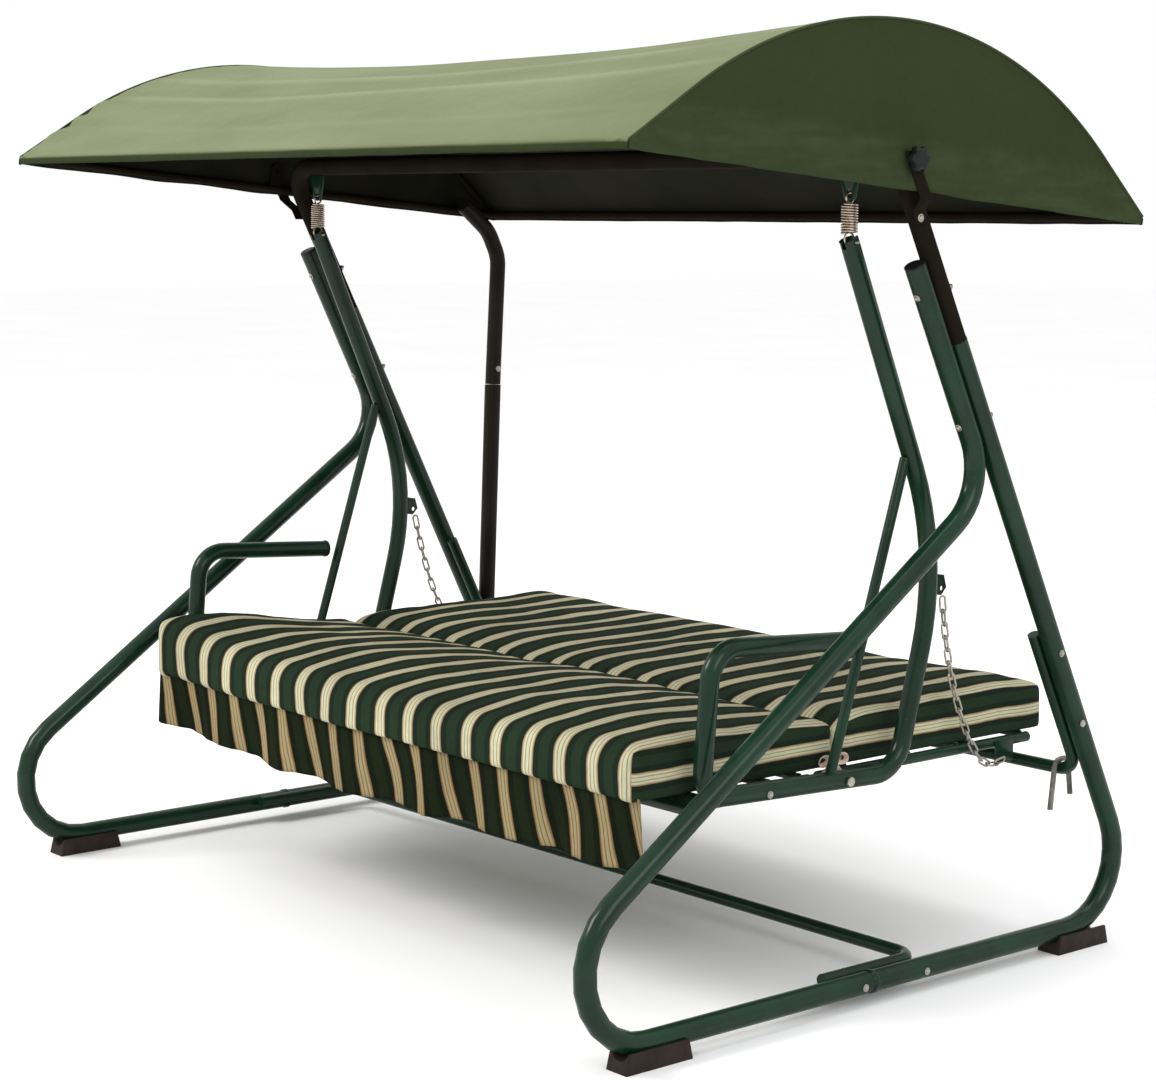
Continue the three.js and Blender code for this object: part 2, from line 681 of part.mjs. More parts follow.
function canopyFrame() {
  const railU = CANOPY_HALF - RAIL_INSET;
  const railV = CHORD_V + CHORD_LIFT;
  const chordU = railU - BOW_R - GAP;
  for (const { name, s } of SIDES) {
    const x = s * BOW_X;
    const arch = new StationPath(inPlane(x, archPoints(BOW_INSET, CANOPY_HALF - 52)));
    const chordEnds = [point(x, CHORD_U - chordU, railV), point(x, CHORD_U + chordU, railV)];
    place(`canopy_arch_${name}`, tube(arch, BOW_R, 8), GREEN_PAINT, canopy);
    place(`canopy_side_bar_${name}`, join(rod(...chordEnds, CHORD_R), pivotLug(x, railV)), GREEN_PAINT, canopy);
    place(`canopy_knob_${name}`, knob(s), BLACK_PLASTIC, canopy);
  }
  const railX = BOW_X + BOW_R;
  const frontEnds = [point(-railX, CHORD_U - railU, railV), point(railX, CHORD_U - railU, railV)];
  const rearEnds = [point(-railX, CHORD_U + railU, railV), point(railX, CHORD_U + railU, railV)];
  place('canopy_front_rail', rod(...frontEnds, BOW_R), GREEN_PAINT, canopy);
  place('canopy_rear_rail', rod(...rearEnds, BOW_R), GREEN_PAINT, canopy);
}

// The flat lug that is welded on the side bar and takes the knob's bolt.
function pivotLug(x, railV) {
  const outline = [[-15, railV], [15, railV], [15, 8], [8, 16], [-8, 16], [-15, 8]];
  const plate = extrudeAcross(outline, x - 2.5, x + 2.5);
  const hole = rod(point(x - 9, 0, 0), point(x + 9, 0, 0), PIVOT_BOLT_R + 0.6);
  return cut(plate, hole);
}

const STRAP_X = CANOPY_X + 3.3;
const KNOB_X = STRAP_X + STRAP_T + GAP;
const KNOB_LENGTH = 22;
const KNOB_R = 22;
const KNOB_LOBES = 6;

// A lobed hand knob with its bolt.
function knob(s) {
  const inner = s * KNOB_X;
  const outer = s * (KNOB_X + KNOB_LENGTH);
  const outline = [];
  const steps = KNOB_LOBES * 4;
  for (let i = 0; i < steps; i++) {
    const angle = (2 * Math.PI * i) / steps;
    const radius = KNOB_R - 2.5 + 2.5 * Math.cos(KNOB_LOBES * angle);
    outline.push([radius * Math.cos(angle), radius * Math.sin(angle)]);
  }
  const grip = extrudeAcross(outline, Math.min(inner, outer), Math.max(inner, outer));
  const bolt = rod(point(s * (BOW_X - 8), 0, 0), point(s * (KNOB_X + 5), 0, 0), PIVOT_BOLT_R);
  return join(grip, bolt);
}

// Leans a shape along the depth, by slope for each unit of height above z.
function lean(geometry, slope, z) {
  const shear = new THREE.Matrix4().set(1, 0, 0, 0, 0, 1, slope, -slope * z, 0, 0, 1, 0, 0, 0, 0, 1);
  return geometry.applyMatrix4(shear);
}

// A flat strap bolted to the upper leg, bent outwards past the fabric and bored for the knob's bolt.
function canopyStrap(s) {
  const [pivotY, pivotZ] = CANOPY_PIVOT;
  const [footY, footZ] = STRAP_FOOT;
  const legX = FRAME_X + TOP_R + GAP;
  const line = [[legX, 1412], [legX, 1432], [STRAP_X, 1456], [STRAP_X, pivotZ + 14]];
  const back = line.map(([x, z]) => [x + STRAP_T, z]).reverse();
  const upright = extrudeAlongDepth([...line, ...back].map(([x, z]) => [s * x, z]), footY, STRAP_WIDTH);
  const strap = lean(upright, (pivotY - footY) / (pivotZ - footZ), footZ);
  const hole = rod(point(s * 970, pivotY, pivotZ), point(s * 1010, pivotY, pivotZ), PIVOT_BOLT_R + 0.6);
  return cut(strap, hole);
}

place('canopy_fabric', canopyFabric(), CANOPY_CLOTH, canopy);
canopyFrame();
for (const { name, s } of SIDES) {
  place(`canopy_strap_${name}`, canopyStrap(s), GREEN_PAINT);
}

export default assembly;
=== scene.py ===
# Canopy swing bench: its looks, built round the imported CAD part.
# Metres, +Z up, +X along the bench, -Y towards the sitter's feet.

import json
import math

import bpy
import numpy as np
from mathutils import Matrix, Vector, noise

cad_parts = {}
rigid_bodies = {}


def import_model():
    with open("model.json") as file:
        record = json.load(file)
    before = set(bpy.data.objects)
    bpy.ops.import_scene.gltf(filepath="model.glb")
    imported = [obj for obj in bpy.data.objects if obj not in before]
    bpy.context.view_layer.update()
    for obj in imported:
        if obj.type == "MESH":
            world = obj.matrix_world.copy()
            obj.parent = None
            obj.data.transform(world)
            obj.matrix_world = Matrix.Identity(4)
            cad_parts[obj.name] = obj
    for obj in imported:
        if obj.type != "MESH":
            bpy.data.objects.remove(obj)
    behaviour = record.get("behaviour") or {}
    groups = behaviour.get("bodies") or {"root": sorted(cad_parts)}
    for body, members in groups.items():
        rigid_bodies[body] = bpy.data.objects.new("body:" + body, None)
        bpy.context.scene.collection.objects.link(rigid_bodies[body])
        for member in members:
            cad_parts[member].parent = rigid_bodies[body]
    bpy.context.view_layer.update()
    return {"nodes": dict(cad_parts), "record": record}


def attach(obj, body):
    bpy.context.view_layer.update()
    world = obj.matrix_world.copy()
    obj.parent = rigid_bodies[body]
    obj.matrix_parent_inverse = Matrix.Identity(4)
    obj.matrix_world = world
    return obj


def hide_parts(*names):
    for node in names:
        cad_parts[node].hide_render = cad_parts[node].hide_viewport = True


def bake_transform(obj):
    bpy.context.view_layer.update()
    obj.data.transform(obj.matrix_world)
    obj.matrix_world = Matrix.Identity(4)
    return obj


for leftover in list(bpy.data.objects):
    bpy.data.objects.remove(leftover)

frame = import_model()

# ---------------------------------------------------------------- driving dimensions

HINGE_Y = 0.0302  # depth of the backrest's hinge line; the depths below are measured from it
GROUND_Z = 0.020  # the heights below are measured from this far under the ground
FRAME_X = 0.94
FRAME_R = 0.020
ARM_X = 0.828
ARM_R = 0.018
HANG_Y = -0.0081  # depth of the swing axis
BASE_JOINT_Y = -0.030
LEG_LEAN = 0.504  # how far a leg moves back for each unit that it drops
LEG_SPACING = 0.046  # how far in front of the rear leg the upper end of the front leg lies
LEG_TOP_Z = 1.338
SIDES = {"left": -1, "right": 1}

# Cushions
PAD_HALF = 0.786
PAD_LOW = 0.414
PAD_TOP = 0.512
PAD_REST = 0.419  # height that no point of a cushion goes below, so it stays clear of the bars
SEAT_PAD_Y = (-0.480, 0.0295)
BACK_PAD_Y = (0.0298, 0.628)
STRIPES = 18
STRIPE_EDGE = 0.772  # centre of the outermost stripe
GUSSET_STRIPE_Z = 0.460  # middle of the stripe along the end panels
GUSSET_SCALE = 1.45  # their stripes are this much narrower than those on top
SWELL = 0.006  # the furthest that a point of a cushion swells
END_R = 0.014  # how far in from an end panel the cushions start to round
END_DROP = 0.017  # how far down from the top they do so
UNDER_R = 0.018  # rounding of the lower edges, along the middle and at the ends
END_UNDER_R = 0.007
CREASE_MIDDLE = 0.02  # share of the crease between the cushions that is left along their middle
END_DROOP = 0.005  # how far the lower part of an end panel hangs
LEFT_RISE = 0.040  # how far the seat cushion has ridden up its front left corner
FRONT_SAG = 0.007
SEAT_FRONT_EDGE = {"depth": 0.036, "drop": 0.042, "at_crease": False}
SEAT_REAR_EDGE = {"depth": 0.020, "drop": 0.036, "at_crease": True}
BACK_FRONT_EDGE = {"depth": 0.066, "drop": 0.062, "at_crease": True}
BACK_REAR_EDGE = {"depth": 0.034, "drop": 0.040, "at_crease": False}

# Valance
VALANCE_TOP = 0.426
VALANCE_LOW = 0.296
VALANCE_Y = -0.457

# Canopy, in its own frame: u is depth and v is height from its tilt axis
CANOPY_PIVOT = (-0.022, 1.522)
CANOPY_TILT = math.radians(5.05)
CANOPY_X = 0.9845
CANOPY_HALF = 0.6475
CANOPY_RISE = 0.2715
CANOPY_TAIL = math.radians(37)
CHORD = (0.0021, -0.0372)
CROWN_SAG = 0.028
FOLDS = ((0.140, 1.0, 11), (0.192, 0.9, 12), (0.055, 0.3, 13))  # (height, strength, seed) of each crease
BAND_HEIGHT = 0.070  # height of the doubled band along the foot of each side panel
HEM = 0.010
HEM_ROWS = {-2: HEM + 0.006, -1: HEM * 0.5}


def place(x, y, z):
    """A point in the frame, from one whose depth is from the hinge line and height from below the ground."""
    return Vector((x, y + HINGE_Y, z - GROUND_Z))


def leg_y(z):
    """Depth of a rear leg's centre line at the height z."""
    return LEG_LEAN * (1.502 - z) + 0.006


# ---------------------------------------------------------------- camera

CAMERA_AT = place(4.004, -3.324, 1.418)
CAMERA_TURN = math.radians(49.74)
CAMERA_DROP = math.radians(7.17)
CAMERA_ROLL = math.radians(0.315)
CAMERA_LENS = 79.64


def add_camera():
    data = bpy.data.cameras.new("camera")
    data.lens = CAMERA_LENS
    data.sensor_width = 36
    camera = bpy.data.objects.new("camera", data)
    bpy.context.scene.collection.objects.link(camera)
    turn = Matrix.Rotation(CAMERA_TURN, 4, "Z")
    drop = Matrix.Rotation(math.pi / 2 - CAMERA_DROP, 4, "X")
    roll = Matrix.Rotation(CAMERA_ROLL, 4, "Z")
    camera.matrix_world = Matrix.Translation(CAMERA_AT) @ turn @ drop @ roll
    bpy.context.scene.camera = camera


add_camera()

# ---------------------------------------------------------------- mesh helpers


def new_piece(name, points, faces, material):
    mesh = bpy.data.meshes.new(name)
    mesh.from_pydata([tuple(p) for p in points], [], faces)
    mesh.shade_smooth()
    mesh.materials.append(material)
    piece = bpy.data.objects.new(name, mesh)
    bpy.context.scene.collection.objects.link(piece)
    return piece


def joined(shapes):
    """Several (points, faces) shapes as one."""
    points, faces = [], []
    for more_points, more_faces in shapes:
        base = len(points)
        points.extend(more_points)
        faces.extend([tuple(i + base for i in face) for face in more_faces])
    return points, faces


def sweep(path, radius, sides=10, closed=False, flat=1.0):
    """A tube along a path. flat below 1 makes its section an oval or a ribbon."""
    path = [Vector(p) for p in path]
    count = len(path)
    points, faces = [], []
    normal = None
    for i in range(count):
        before = path[(i - 1) % count] if closed or i > 0 else path[0]
        after = path[(i + 1) % count] if closed or i < count - 1 else path[-1]
        ahead = (after - before).normalized()
        if normal is None:
            normal = ahead.orthogonal().normalized()
        normal = (normal - ahead * normal.dot(ahead)).normalized()
        side = ahead.cross(normal)
        for k in range(sides):
            angle = 2 * math.pi * k / sides
            offset = normal * math.cos(angle) + side * (math.sin(angle) * flat)
            points.append(path[i] + offset * radius)
    rings = count if closed else count - 1
    for i in range(rings):
        a, b = i * sides, ((i + 1) % count) * sides
        for k in range(sides):
            m = (k + 1) % sides
            faces.append((a + k, a + m, b + m, b + k))
    if not closed:
        faces.append(tuple(reversed(range(sides))))
        faces.append(tuple(range((count - 1) * sides, count * sides)))
    return points, faces


def lathe(profile, centre, axis, sides=20):
    """A closed solid from (distance along the axis, radius) pairs; it starts and ends on the axis."""
    axis = Vector(axis).normalized()
    across = axis.orthogonal().normalized()
    other = axis.cross(across)
    centre = Vector(centre)
    points = [centre + axis * profile[0][0]]
    for along, radius in profile[1:-1]:
        for k in range(sides):
            angle = 2 * math.pi * k / sides
            spoke = across * math.cos(angle) + other * math.sin(angle)
            points.append(centre + axis * along + spoke * radius)
    points.append(centre + axis * profile[-1][0])
    rings = len(profile) - 2
    faces = []
    for k in range(sides):
        m = (k + 1) % sides
        faces.append((0, 1 + m, 1 + k))
        last = 1 + (rings - 1) * sides
        faces.append((len(points) - 1, last + k, last + m))
        for r in range(rings - 1):
            a = 1 + r * sides
            faces.append((a + k, a + m, a + sides + m, a + sides + k))
    return points, faces


def spaced(path, step):
    """Points along a path, a set distance apart."""
    path = [Vector(p) for p in path]
    lengths = [0.0]
    for a, b in zip(path, path[1:]):
        lengths.append(lengths[-1] + (b - a).length)
    count = max(2, round(lengths[-1] / step) + 1)
    points = []
    for k in range(count):
        at = lengths[-1] * k / (count - 1)
        i = min(max(np.searchsorted(lengths, at) - 1, 0), len(path) - 2)
        share = (at - lengths[i]) / (lengths[i + 1] - lengths[i])
        points.append(path[i].lerp(path[i + 1], share))
    return points


def rounded(path, passes=2):
    """The path with its corners cut, again and again."""
    path = [Vector(p) for p in path]
    for _ in range(passes):
        cut = [path[0]]
        for a, b in zip(path, path[1:]):
            cut.extend([a.lerp(b, 0.25), a.lerp(b, 0.75)])
        cut.append(path[-1])
        path = cut
    return path


def ease(value, low, high):
    """0 below low, 1 above high, and smooth between."""
    t = min(max((value - low) / (high - low), 0.0), 1.0)
    return t * t * (3 - 2 * t)


def waver(x, y=0.0, z=0.0, seed=0.0):
    """Smooth noise from about -1 to 1, the same on every run."""
    return noise.noise(Vector((x, y, z + 37.0 * seed)))


# ---------------------------------------------------------------- shader helpers


class Shader:
    """A material and short calls for its nodes."""

    def __init__(self, name, roughness, metallic=0.0):
        self.material = bpy.data.materials.new(name)
        self.material.use_nodes = True
        self.tree = self.material.node_tree
        self.surface = self.tree.nodes["Principled BSDF"]
        self.surface.inputs["Roughness"].default_value = roughness
        self.surface.inputs["Metallic"].default_value = metallic
        self.where = self.node("ShaderNodeTexCoord").outputs["Object"]

    def node(self, kind, **settings):
        node = self.tree.nodes.new(kind)
        for name, value in settings.items():
            setattr(node, name, value)
        return node

    def link(self, source, target):
        self.tree.links.new(source, target)

    def noise(self, scale, detail=3.0, stretch=(1, 1, 1), distortion=0.0, where=None):
        mapping = self.node("ShaderNodeMapping")
        mapping.inputs["Scale"].default_value = stretch
        self.link(where or self.where, mapping.inputs["Vector"])
        texture = self.node("ShaderNodeTexNoise")
        texture.inputs["Scale"].default_value = scale
        texture.inputs["Detail"].default_value = detail
        texture.inputs["Distortion"].default_value = distortion
        self.link(mapping.outputs["Vector"], texture.inputs["Vector"])
        return texture.outputs["Fac"]

    def ramp(self, value, stops, interpolation="LINEAR"):
        """A colour ramp from (position, colour) stops."""
        node = self.node("ShaderNodeValToRGB")
        ramp = node.color_ramp
        ramp.interpolation = interpolation
        while len(ramp.elements) < len(stops):
            ramp.elements.new(1.0)
        for element, (position, colour) in zip(ramp.elements, stops):
            element.position = position
            element.color = (*colour, 1.0) if len(colour) == 3 else colour
        self.link(value, node.inputs["Fac"])
        return node.outputs["Color"]

    def math(self, operation, a, b=0.0, c=0.0):
        node = self.node("ShaderNodeMath", operation=operation)
        for socket, value in zip(node.inputs, (a, b, c)):
            if isinstance(value, (int, float)):
                socket.default_value = value
            else:
                self.link(value, socket)
        return node.outputs["Value"]

    def mix(self, share, a, b, blend="MIX"):
        node = self.node("ShaderNodeMix", data_type="RGBA", blend_type=blend)
        for socket, value in zip((node.inputs[0], node.inputs[6], node.inputs[7]), (share, a, b)):
            if isinstance(value, (int, float)):
                socket.default_value = value
            elif isinstance(value, tuple):
                socket.default_value = (*value, 1.0)
            else:
                self.link(value, socket)
        return node.outputs[2]

    def attribute(self, name):
        node = self.node("ShaderNodeAttribute", attribute_name=name)
        return node.outputs["Fac"]

    def bump(self, height, strength, distance, under=None):
        node = self.node("ShaderNodeBump")
        node.inputs["Strength"].default_value = strength
        node.inputs["Distance"].default_value = distance
        self.link(height, node.inputs["Height"])
        if under is not None:
            self.link(under, node.inputs["Normal"])
        return node.outputs["Normal"]

    def finish(self, colour=None, roughness=None, normal=None):
        for name, value in (("Base Color", colour), ("Roughness", roughness), ("Normal", normal)):
            if value is not None:
                self.link(value, self.surface.inputs[name])
        return self.material

    def set(self, **values):
        for name, value in values.items():
            self.surface.inputs[name.replace("_", " ")].default_value = value


def between(shader, value, low, high):
    """The value's 0 to 1 range moved to low to high, as a grey."""
    return shader.ramp(value, [(0.3, (low,) * 3), (0.7, (high,) * 3)])


# ---------------------------------------------------------------- materials


def paint(name, dark, light, dust_and_highlight, gloss, rough_range=(0.3, 0.5)):
    """Stoved paint: a faint orange peel, a paler colour on up-facing surfaces and small rubbed spots. The
    paler colour is a dusting on the brown paints and a painted highlight on the green one.
    """
    s = Shader(name, 0.4)
    s.set(Coat_Weight=gloss, Coat_Roughness=0.20, Specular_IOR_Level=0.02)
    cloudy = s.ramp(s.noise(7.0, 4.0), [(0.35, dark), (0.7, light)])
    normal_node = s.node("ShaderNodeNewGeometry")
    up = s.node("ShaderNodeSeparateXYZ")
    s.link(normal_node.outputs["Normal"], up.inputs["Vector"])
    # up-facing surfaces grow paler: a dusting on the brown paints, a painted highlight on the green one
    facing_up = s.math("MAXIMUM", up.outputs["Z"], 0.0)
    patchy = s.math("MULTIPLY", facing_up, s.noise(38.0, 6.0))
    paler_share = s.math("MULTIPLY", patchy, 0.14)
    dusted_and_lit = s.mix(paler_share, cloudy, dust_and_highlight)
    specks = s.ramp(s.noise(260.0, 2.0), [(0.70, (0, 0, 0)), (0.73, (1, 1, 1))])
    rubbed = s.mix(s.math("MULTIPLY", specks, 0.25), dusted_and_lit, dust_and_highlight)
    rough = between(s, s.noise(26.0, 4.0), *rough_range)
    peel = s.bump(s.noise(700.0, 1.0), 0.12, 0.0004)
    dents = s.bump(s.noise(14.0, 2.0), 0.15, 0.002, peel)
    return s.finish(rubbed, rough, dents)


def moulded(name, dark, light, roughness):
    """Moulded plastic with a fine grain."""
    s = Shader(name, roughness)
    s.set(Specular_IOR_Level=0.15)
    colour = s.ramp(s.noise(22.0, 5.0), [(0.3, dark), (0.75, light)])
    rough = between(s, s.noise(60.0, 3.0), roughness - 0.08, roughness + 0.12)
    grain = s.bump(s.noise(1400.0, 2.0), 0.25, 0.0003)
    return s.finish(colour, rough, grain)


def metal(name, dark, light, roughness):
    """Plated steel with a cloudy sheen and fine scratches."""
    s = Shader(name, roughness, metallic=0.95)
    colour = s.ramp(s.noise(90.0, 5.0), [(0.3, dark), (0.7, light)])
    rough = between(s, s.noise(160.0, 3.0), roughness - 0.08, roughness + 0.14)
    scratch = s.bump(s.noise(900.0, 2.0, (1, 1, 0.15)), 0.15, 0.0003)
    return s.finish(colour, rough, scratch)


def weave_height(s, across, along, pitch):
    """Over-and-under threads of a plain weave, from two directions in metres."""
    turn = 2 * math.pi / pitch
    warp = s.math("SINE", s.math("MULTIPLY", across, turn))
    weft = s.math("SINE", s.math("MULTIPLY", along, turn))
    return s.math("MULTIPLY", warp, weft)


DARK_STRIPE = (0.016, 0.030, 0.016)
DEEP_STRIPE = (0.0105, 0.019, 0.012)
CREAM = (0.50, 0.48, 0.33)
TAN = (0.33, 0.23, 0.13)
OLIVE_LINE = (0.20, 0.20, 0.11)


def striped_cloth(name, painted_shade=(1, 1, 1)):
    """Woven awning cloth: dark green, with cream stripes edged in tan and lined in olive.

    The UV map holds metres: u across the stripes, v along them."""
    s = Shader(name, 0.86)
    s.set(Specular_IOR_Level=0.03)
    uv = s.node("ShaderNodeUVMap").outputs["UV"]
    split = s.node("ShaderNodeSeparateXYZ")
    s.link(uv, split.inputs["Vector"])
    straight, along = split.outputs["X"], split.outputs["Y"]
    stray = s.math("MULTIPLY", s.math("SUBTRACT", s.noise(9.0, 2.0), 0.5), 0.010)
    across = s.math("ADD", straight, stray)
    pitch = 2 * STRIPE_EDGE / (STRIPES - 1)
    phase = s.math("ADD", s.math("DIVIDE", s.math("SUBTRACT", across, STRIPE_EDGE), pitch), 100.5)
    place_in_repeat = s.math("FRACT", phase)

    # the valance's copy is darkened and browned here: painted shade
    def shade(colour):
        return tuple(c * t for c, t in zip(colour, painted_shade))

    half = [
        (0.0, DARK_STRIPE), (0.145, DARK_STRIPE), (0.15, DEEP_STRIPE), (0.31, DEEP_STRIPE), (0.335, TAN),
        (0.36, TAN), (0.37, CREAM), (0.425, CREAM), (0.435, OLIVE_LINE), (0.45, OLIVE_LINE), (0.46, CREAM),
    ]
    lines = half + [(1 - position, colour) for position, colour in reversed(half)]
    stripes = s.ramp(place_in_repeat, [(position, shade(colour)) for position, colour in lines])
    toned = between(s, s.noise(4.0, 4.0), 0.86, 1.12)
    slubs = between(s, s.noise(420.0, 2.0, (1, 0.12, 1), where=uv), 0.9, 1.1)
    colour = s.mix(1.0, s.mix(1.0, stripes, toned, "MULTIPLY"), slubs, "MULTIPLY")
    threads = s.bump(weave_height(s, across, along, 0.0016), 0.35, 0.00025)
    creased = s.bump(s.noise(24.0, 3.0, distortion=0.6), 0.35, 0.004, threads)
    rough = between(s, s.noise(80.0, 3.0), 0.8, 0.95)
    return s.finish(colour, rough, creased)


def canopy_cloth():
    """Woven polyester. Its roof is painted pale as lit and its side panels and hem dark as shaded: painted
    light and painted shade on one cloth. The mesh says where the roof and the doubled band are.
    """
    s = Shader("canopy_cloth", 0.8)
    s.set(Specular_IOR_Level=0.08)
    roof = s.attribute("roof")
    band = s.attribute("band")
    pale_creases = s.attribute("pale_creases")
    # painted shade: the side panels get a dark green, a shaded copy of the roof's cloth
    shaded_side_green = s.ramp(s.noise(3.0, 4.0), [(0.3, (0.022, 0.031, 0.0100)), (0.75, (0.028, 0.038, 0.0135))])
    patches = s.ramp(s.noise(34.0, 3.0, (1, 0.35, 1.6)), [(0.36, (0.25,) * 3), (0.70, (1, 1, 1))])
    panel = s.mix(s.math("MULTIPLY", band, patches), shaded_side_green, (0.033, 0.047, 0.019))
    # painted light: the roof gets a pale green, a lit copy of the same cloth
    lit_roof_greens = [(0.3, (0.128, 0.148, 0.078)), (0.72, (0.172, 0.192, 0.112))]
    lit_roof_green = s.ramp(s.noise(2.2, 5.0, (1, 2.5, 2.5)), lit_roof_greens)
    # the roof turns paler along the fold creases
    toned = s.mix(pale_creases, lit_roof_green, (0.29, 0.30, 0.20))
    colour = s.mix(roof, panel, toned)
    split = s.node("ShaderNodeSeparateXYZ")
    s.link(s.where, split.inputs["Vector"])
    across = s.math("ADD", split.outputs["X"], split.outputs["Z"])
    threads = s.bump(weave_height(s, across, split.outputs["Y"], 0.0014), 0.3, 0.0002)
    wrinkles = s.noise(17.0, 4.0, (0.5, 1, 1), distortion=0.8)
    creased = s.bump(wrinkles, 0.22, 0.004, threads)
    rough = between(s, s.noise(50.0, 3.0), 0.72, 0.9)
    return s.finish(colour, rough, creased)


def lining_cloth():
    """The canopy's dark coated underside, made near black: a dark coating with painted shade on top."""
    s = Shader("canopy_lining", 0.8)
    s.set(Specular_IOR_Level=0.04)
    colour = s.ramp(s.noise(5.0, 4.0), [(0.3, (0.0095, 0.0095, 0.0058)), (0.7, (0.0160, 0.0155, 0.0100))])
    creased = s.bump(s.noise(15.0, 4.0), 0.3, 0.004)
    return s.finish(colour, normal=creased)


def ribbon_cloth():
    s = Shader("tie_ribbon", 0.8)
    s.set(Sheen_Weight=0.2)
    colour = s.ramp(s.noise(60.0, 3.0), [(0.3, (0.50, 0.30, 0.24)), (0.7, (0.72, 0.60, 0.50))])
    creased = s.bump(s.noise(240.0, 3.0), 0.4, 0.001)
    return s.finish(colour, normal=creased)


# the green paint's paler colour is a light green: on up-facing surfaces it is a painted highlight
GREEN = paint("green_paint", (0.0020, 0.0150, 0.0066), (0.0050, 0.0300, 0.0135), (0.07, 0.15, 0.09), 0.44)
# painted shade: a near-black paint for pieces that lie in the canopy's shade, standing also for the rails'
# dark sleeves
SHADE_DARK_PAINT = paint("beam_paint_shaded", (0.009, 0.007, 0.0045), (0.014, 0.011, 0.0072), (0.03, 0.026, 0.02), 0, (0.75, 0.9))
BROWN = paint("brown_paint", (0.0100, 0.0076, 0.0056), (0.0175, 0.0135, 0.0105), (0.08, 0.07, 0.06), 0.10)
BROWN_PLASTIC = moulded("brown_plastic", (0.017, 0.010, 0.0075), (0.032, 0.020, 0.0155), 0.6)
BLACK_PLASTIC = moulded("black_plastic", (0.006, 0.007, 0.007), (0.014, 0.015, 0.015), 0.42)
ZINC = metal("zinc", (0.26, 0.245, 0.20), (0.48, 0.45, 0.38), 0.36)
DULL_STEEL = metal("dull_steel", (0.13, 0.125, 0.11), (0.24, 0.23, 0.20), 0.45)
SPRING_STEEL = metal("spring_steel", (0.40, 0.33, 0.25), (0.62, 0.52, 0.42), 0.32)
CLOTH = striped_cloth("striped_cloth")
# painted shade: the valance is the cushions' cloth made darker and browner under the seat's front
VALANCE_CLOTH_SHADED = striped_cloth("valance_cloth", painted_shade=(0.56, 0.47, 0.37))
CANOPY_CLOTH = canopy_cloth()
LINING = lining_cloth()
RIBBON = ribbon_cloth()

# ---------------------------------------------------------------- the frame's own pieces

SLOT_MATERIALS = {
    "frame_paint": GREEN,
    "post_paint": BROWN,
    "foot_plastic": BROWN_PLASTIC,
    "black_plastic": BLACK_PLASTIC,
    "zinc": ZINC,
    "canopy_cloth": CANOPY_CLOTH,
    "striped_cloth": CLOTH,
}
# pieces under the canopy given the near-black paint: painted shade on the green top frame, painted shade and
# dark sleeves on the canopy's rails, arches, side bars and strap
SHADED_AND_SLEEVED_PIECES = (
    "top_frame", "canopy_front_rail", "canopy_rear_rail", "canopy_side_bar", "canopy_arch", "canopy_strap",
)
BEVELLED = ("foot_", "armrest_cap", "spring_bracket", "canopy_strap", "chain_lug", "hinge_pin", "spring_pin")


def dress_frame():
    """Gives every CAD piece its material, and smooth shading where its faces meet at a shallow angle."""
    for entry in frame["record"]["subparts"]:
        node = frame["nodes"][entry["node"]]
        mesh = node.data
        # the pieces under the canopy take the near-black paint: painted shade
        dark = entry["node"].startswith(SHADED_AND_SLEEVED_PIECES)
        material = SHADE_DARK_PAINT if dark else SLOT_MATERIALS[entry["material_slot"]]
        if entry["node"] == "crossbar_clip":
            material = DULL_STEEL
        mesh.materials.clear()
        mesh.materials.append(material)
        for name in ("custom_normal", "sharp_edge", "sharp_face"):
            if name in mesh.attributes:
                mesh.attributes.remove(mesh.attributes[name])
        mesh.shade_smooth()
        weld = node.modifiers.new("weld", "WELD")
        weld.merge_threshold = 1e-5
        if entry["node"].startswith(BEVELLED):
            bevel = node.modifiers.new("edges", "BEVEL")
            bevel.width = 0.0012
            bevel.segments = 2
            bevel.limit_method = "ANGLE"
            bevel.angle_limit = math.radians(40)
        split = node.modifiers.new("corners", "EDGE_SPLIT")
        split.split_angle = math.radians(38)
        split.use_edge_sharp = False


dress_frame()

# ---------------------------------------------------------------- chains

CHAIN_X = 0.801
CHAIN_DROP = [
    (0.259, 0.722), (0.264, 0.708), (0.271, 0.670), (0.280, 0.633), (0.291, 0.593), (0.304, 0.553),
    (0.321, 0.511), (0.341, 0.471), (0.360, 0.438), (0.380, 0.410), (0.402, 0.386), (0.428, 0.372),
    (0.452, 0.370), (0.470, 0.374), (0.484, 0.382),
]
LINK_PITCH = 0.0265
LINK_HALF = 0.0185
LINK_WIDE = 0.0058
LINK_WIRE = 0.0021
ROUTE_STEP = 0.004


def link_shape(centre, ahead, side):
    """One oval link lying in the plane of ahead and side."""
    ring = []
    steps = 20
    for k in range(steps):
        angle = 2 * math.pi * k / steps
        straight = LINK_HALF - LINK_WIDE - LINK_WIRE
        along = math.cos(angle) * LINK_WIDE + math.copysign(straight, math.cos(angle))
        ring.append(centre + ahead * along + side * (math.sin(angle) * LINK_WIDE))
    return sweep(ring, LINK_WIRE, 6, closed=True)


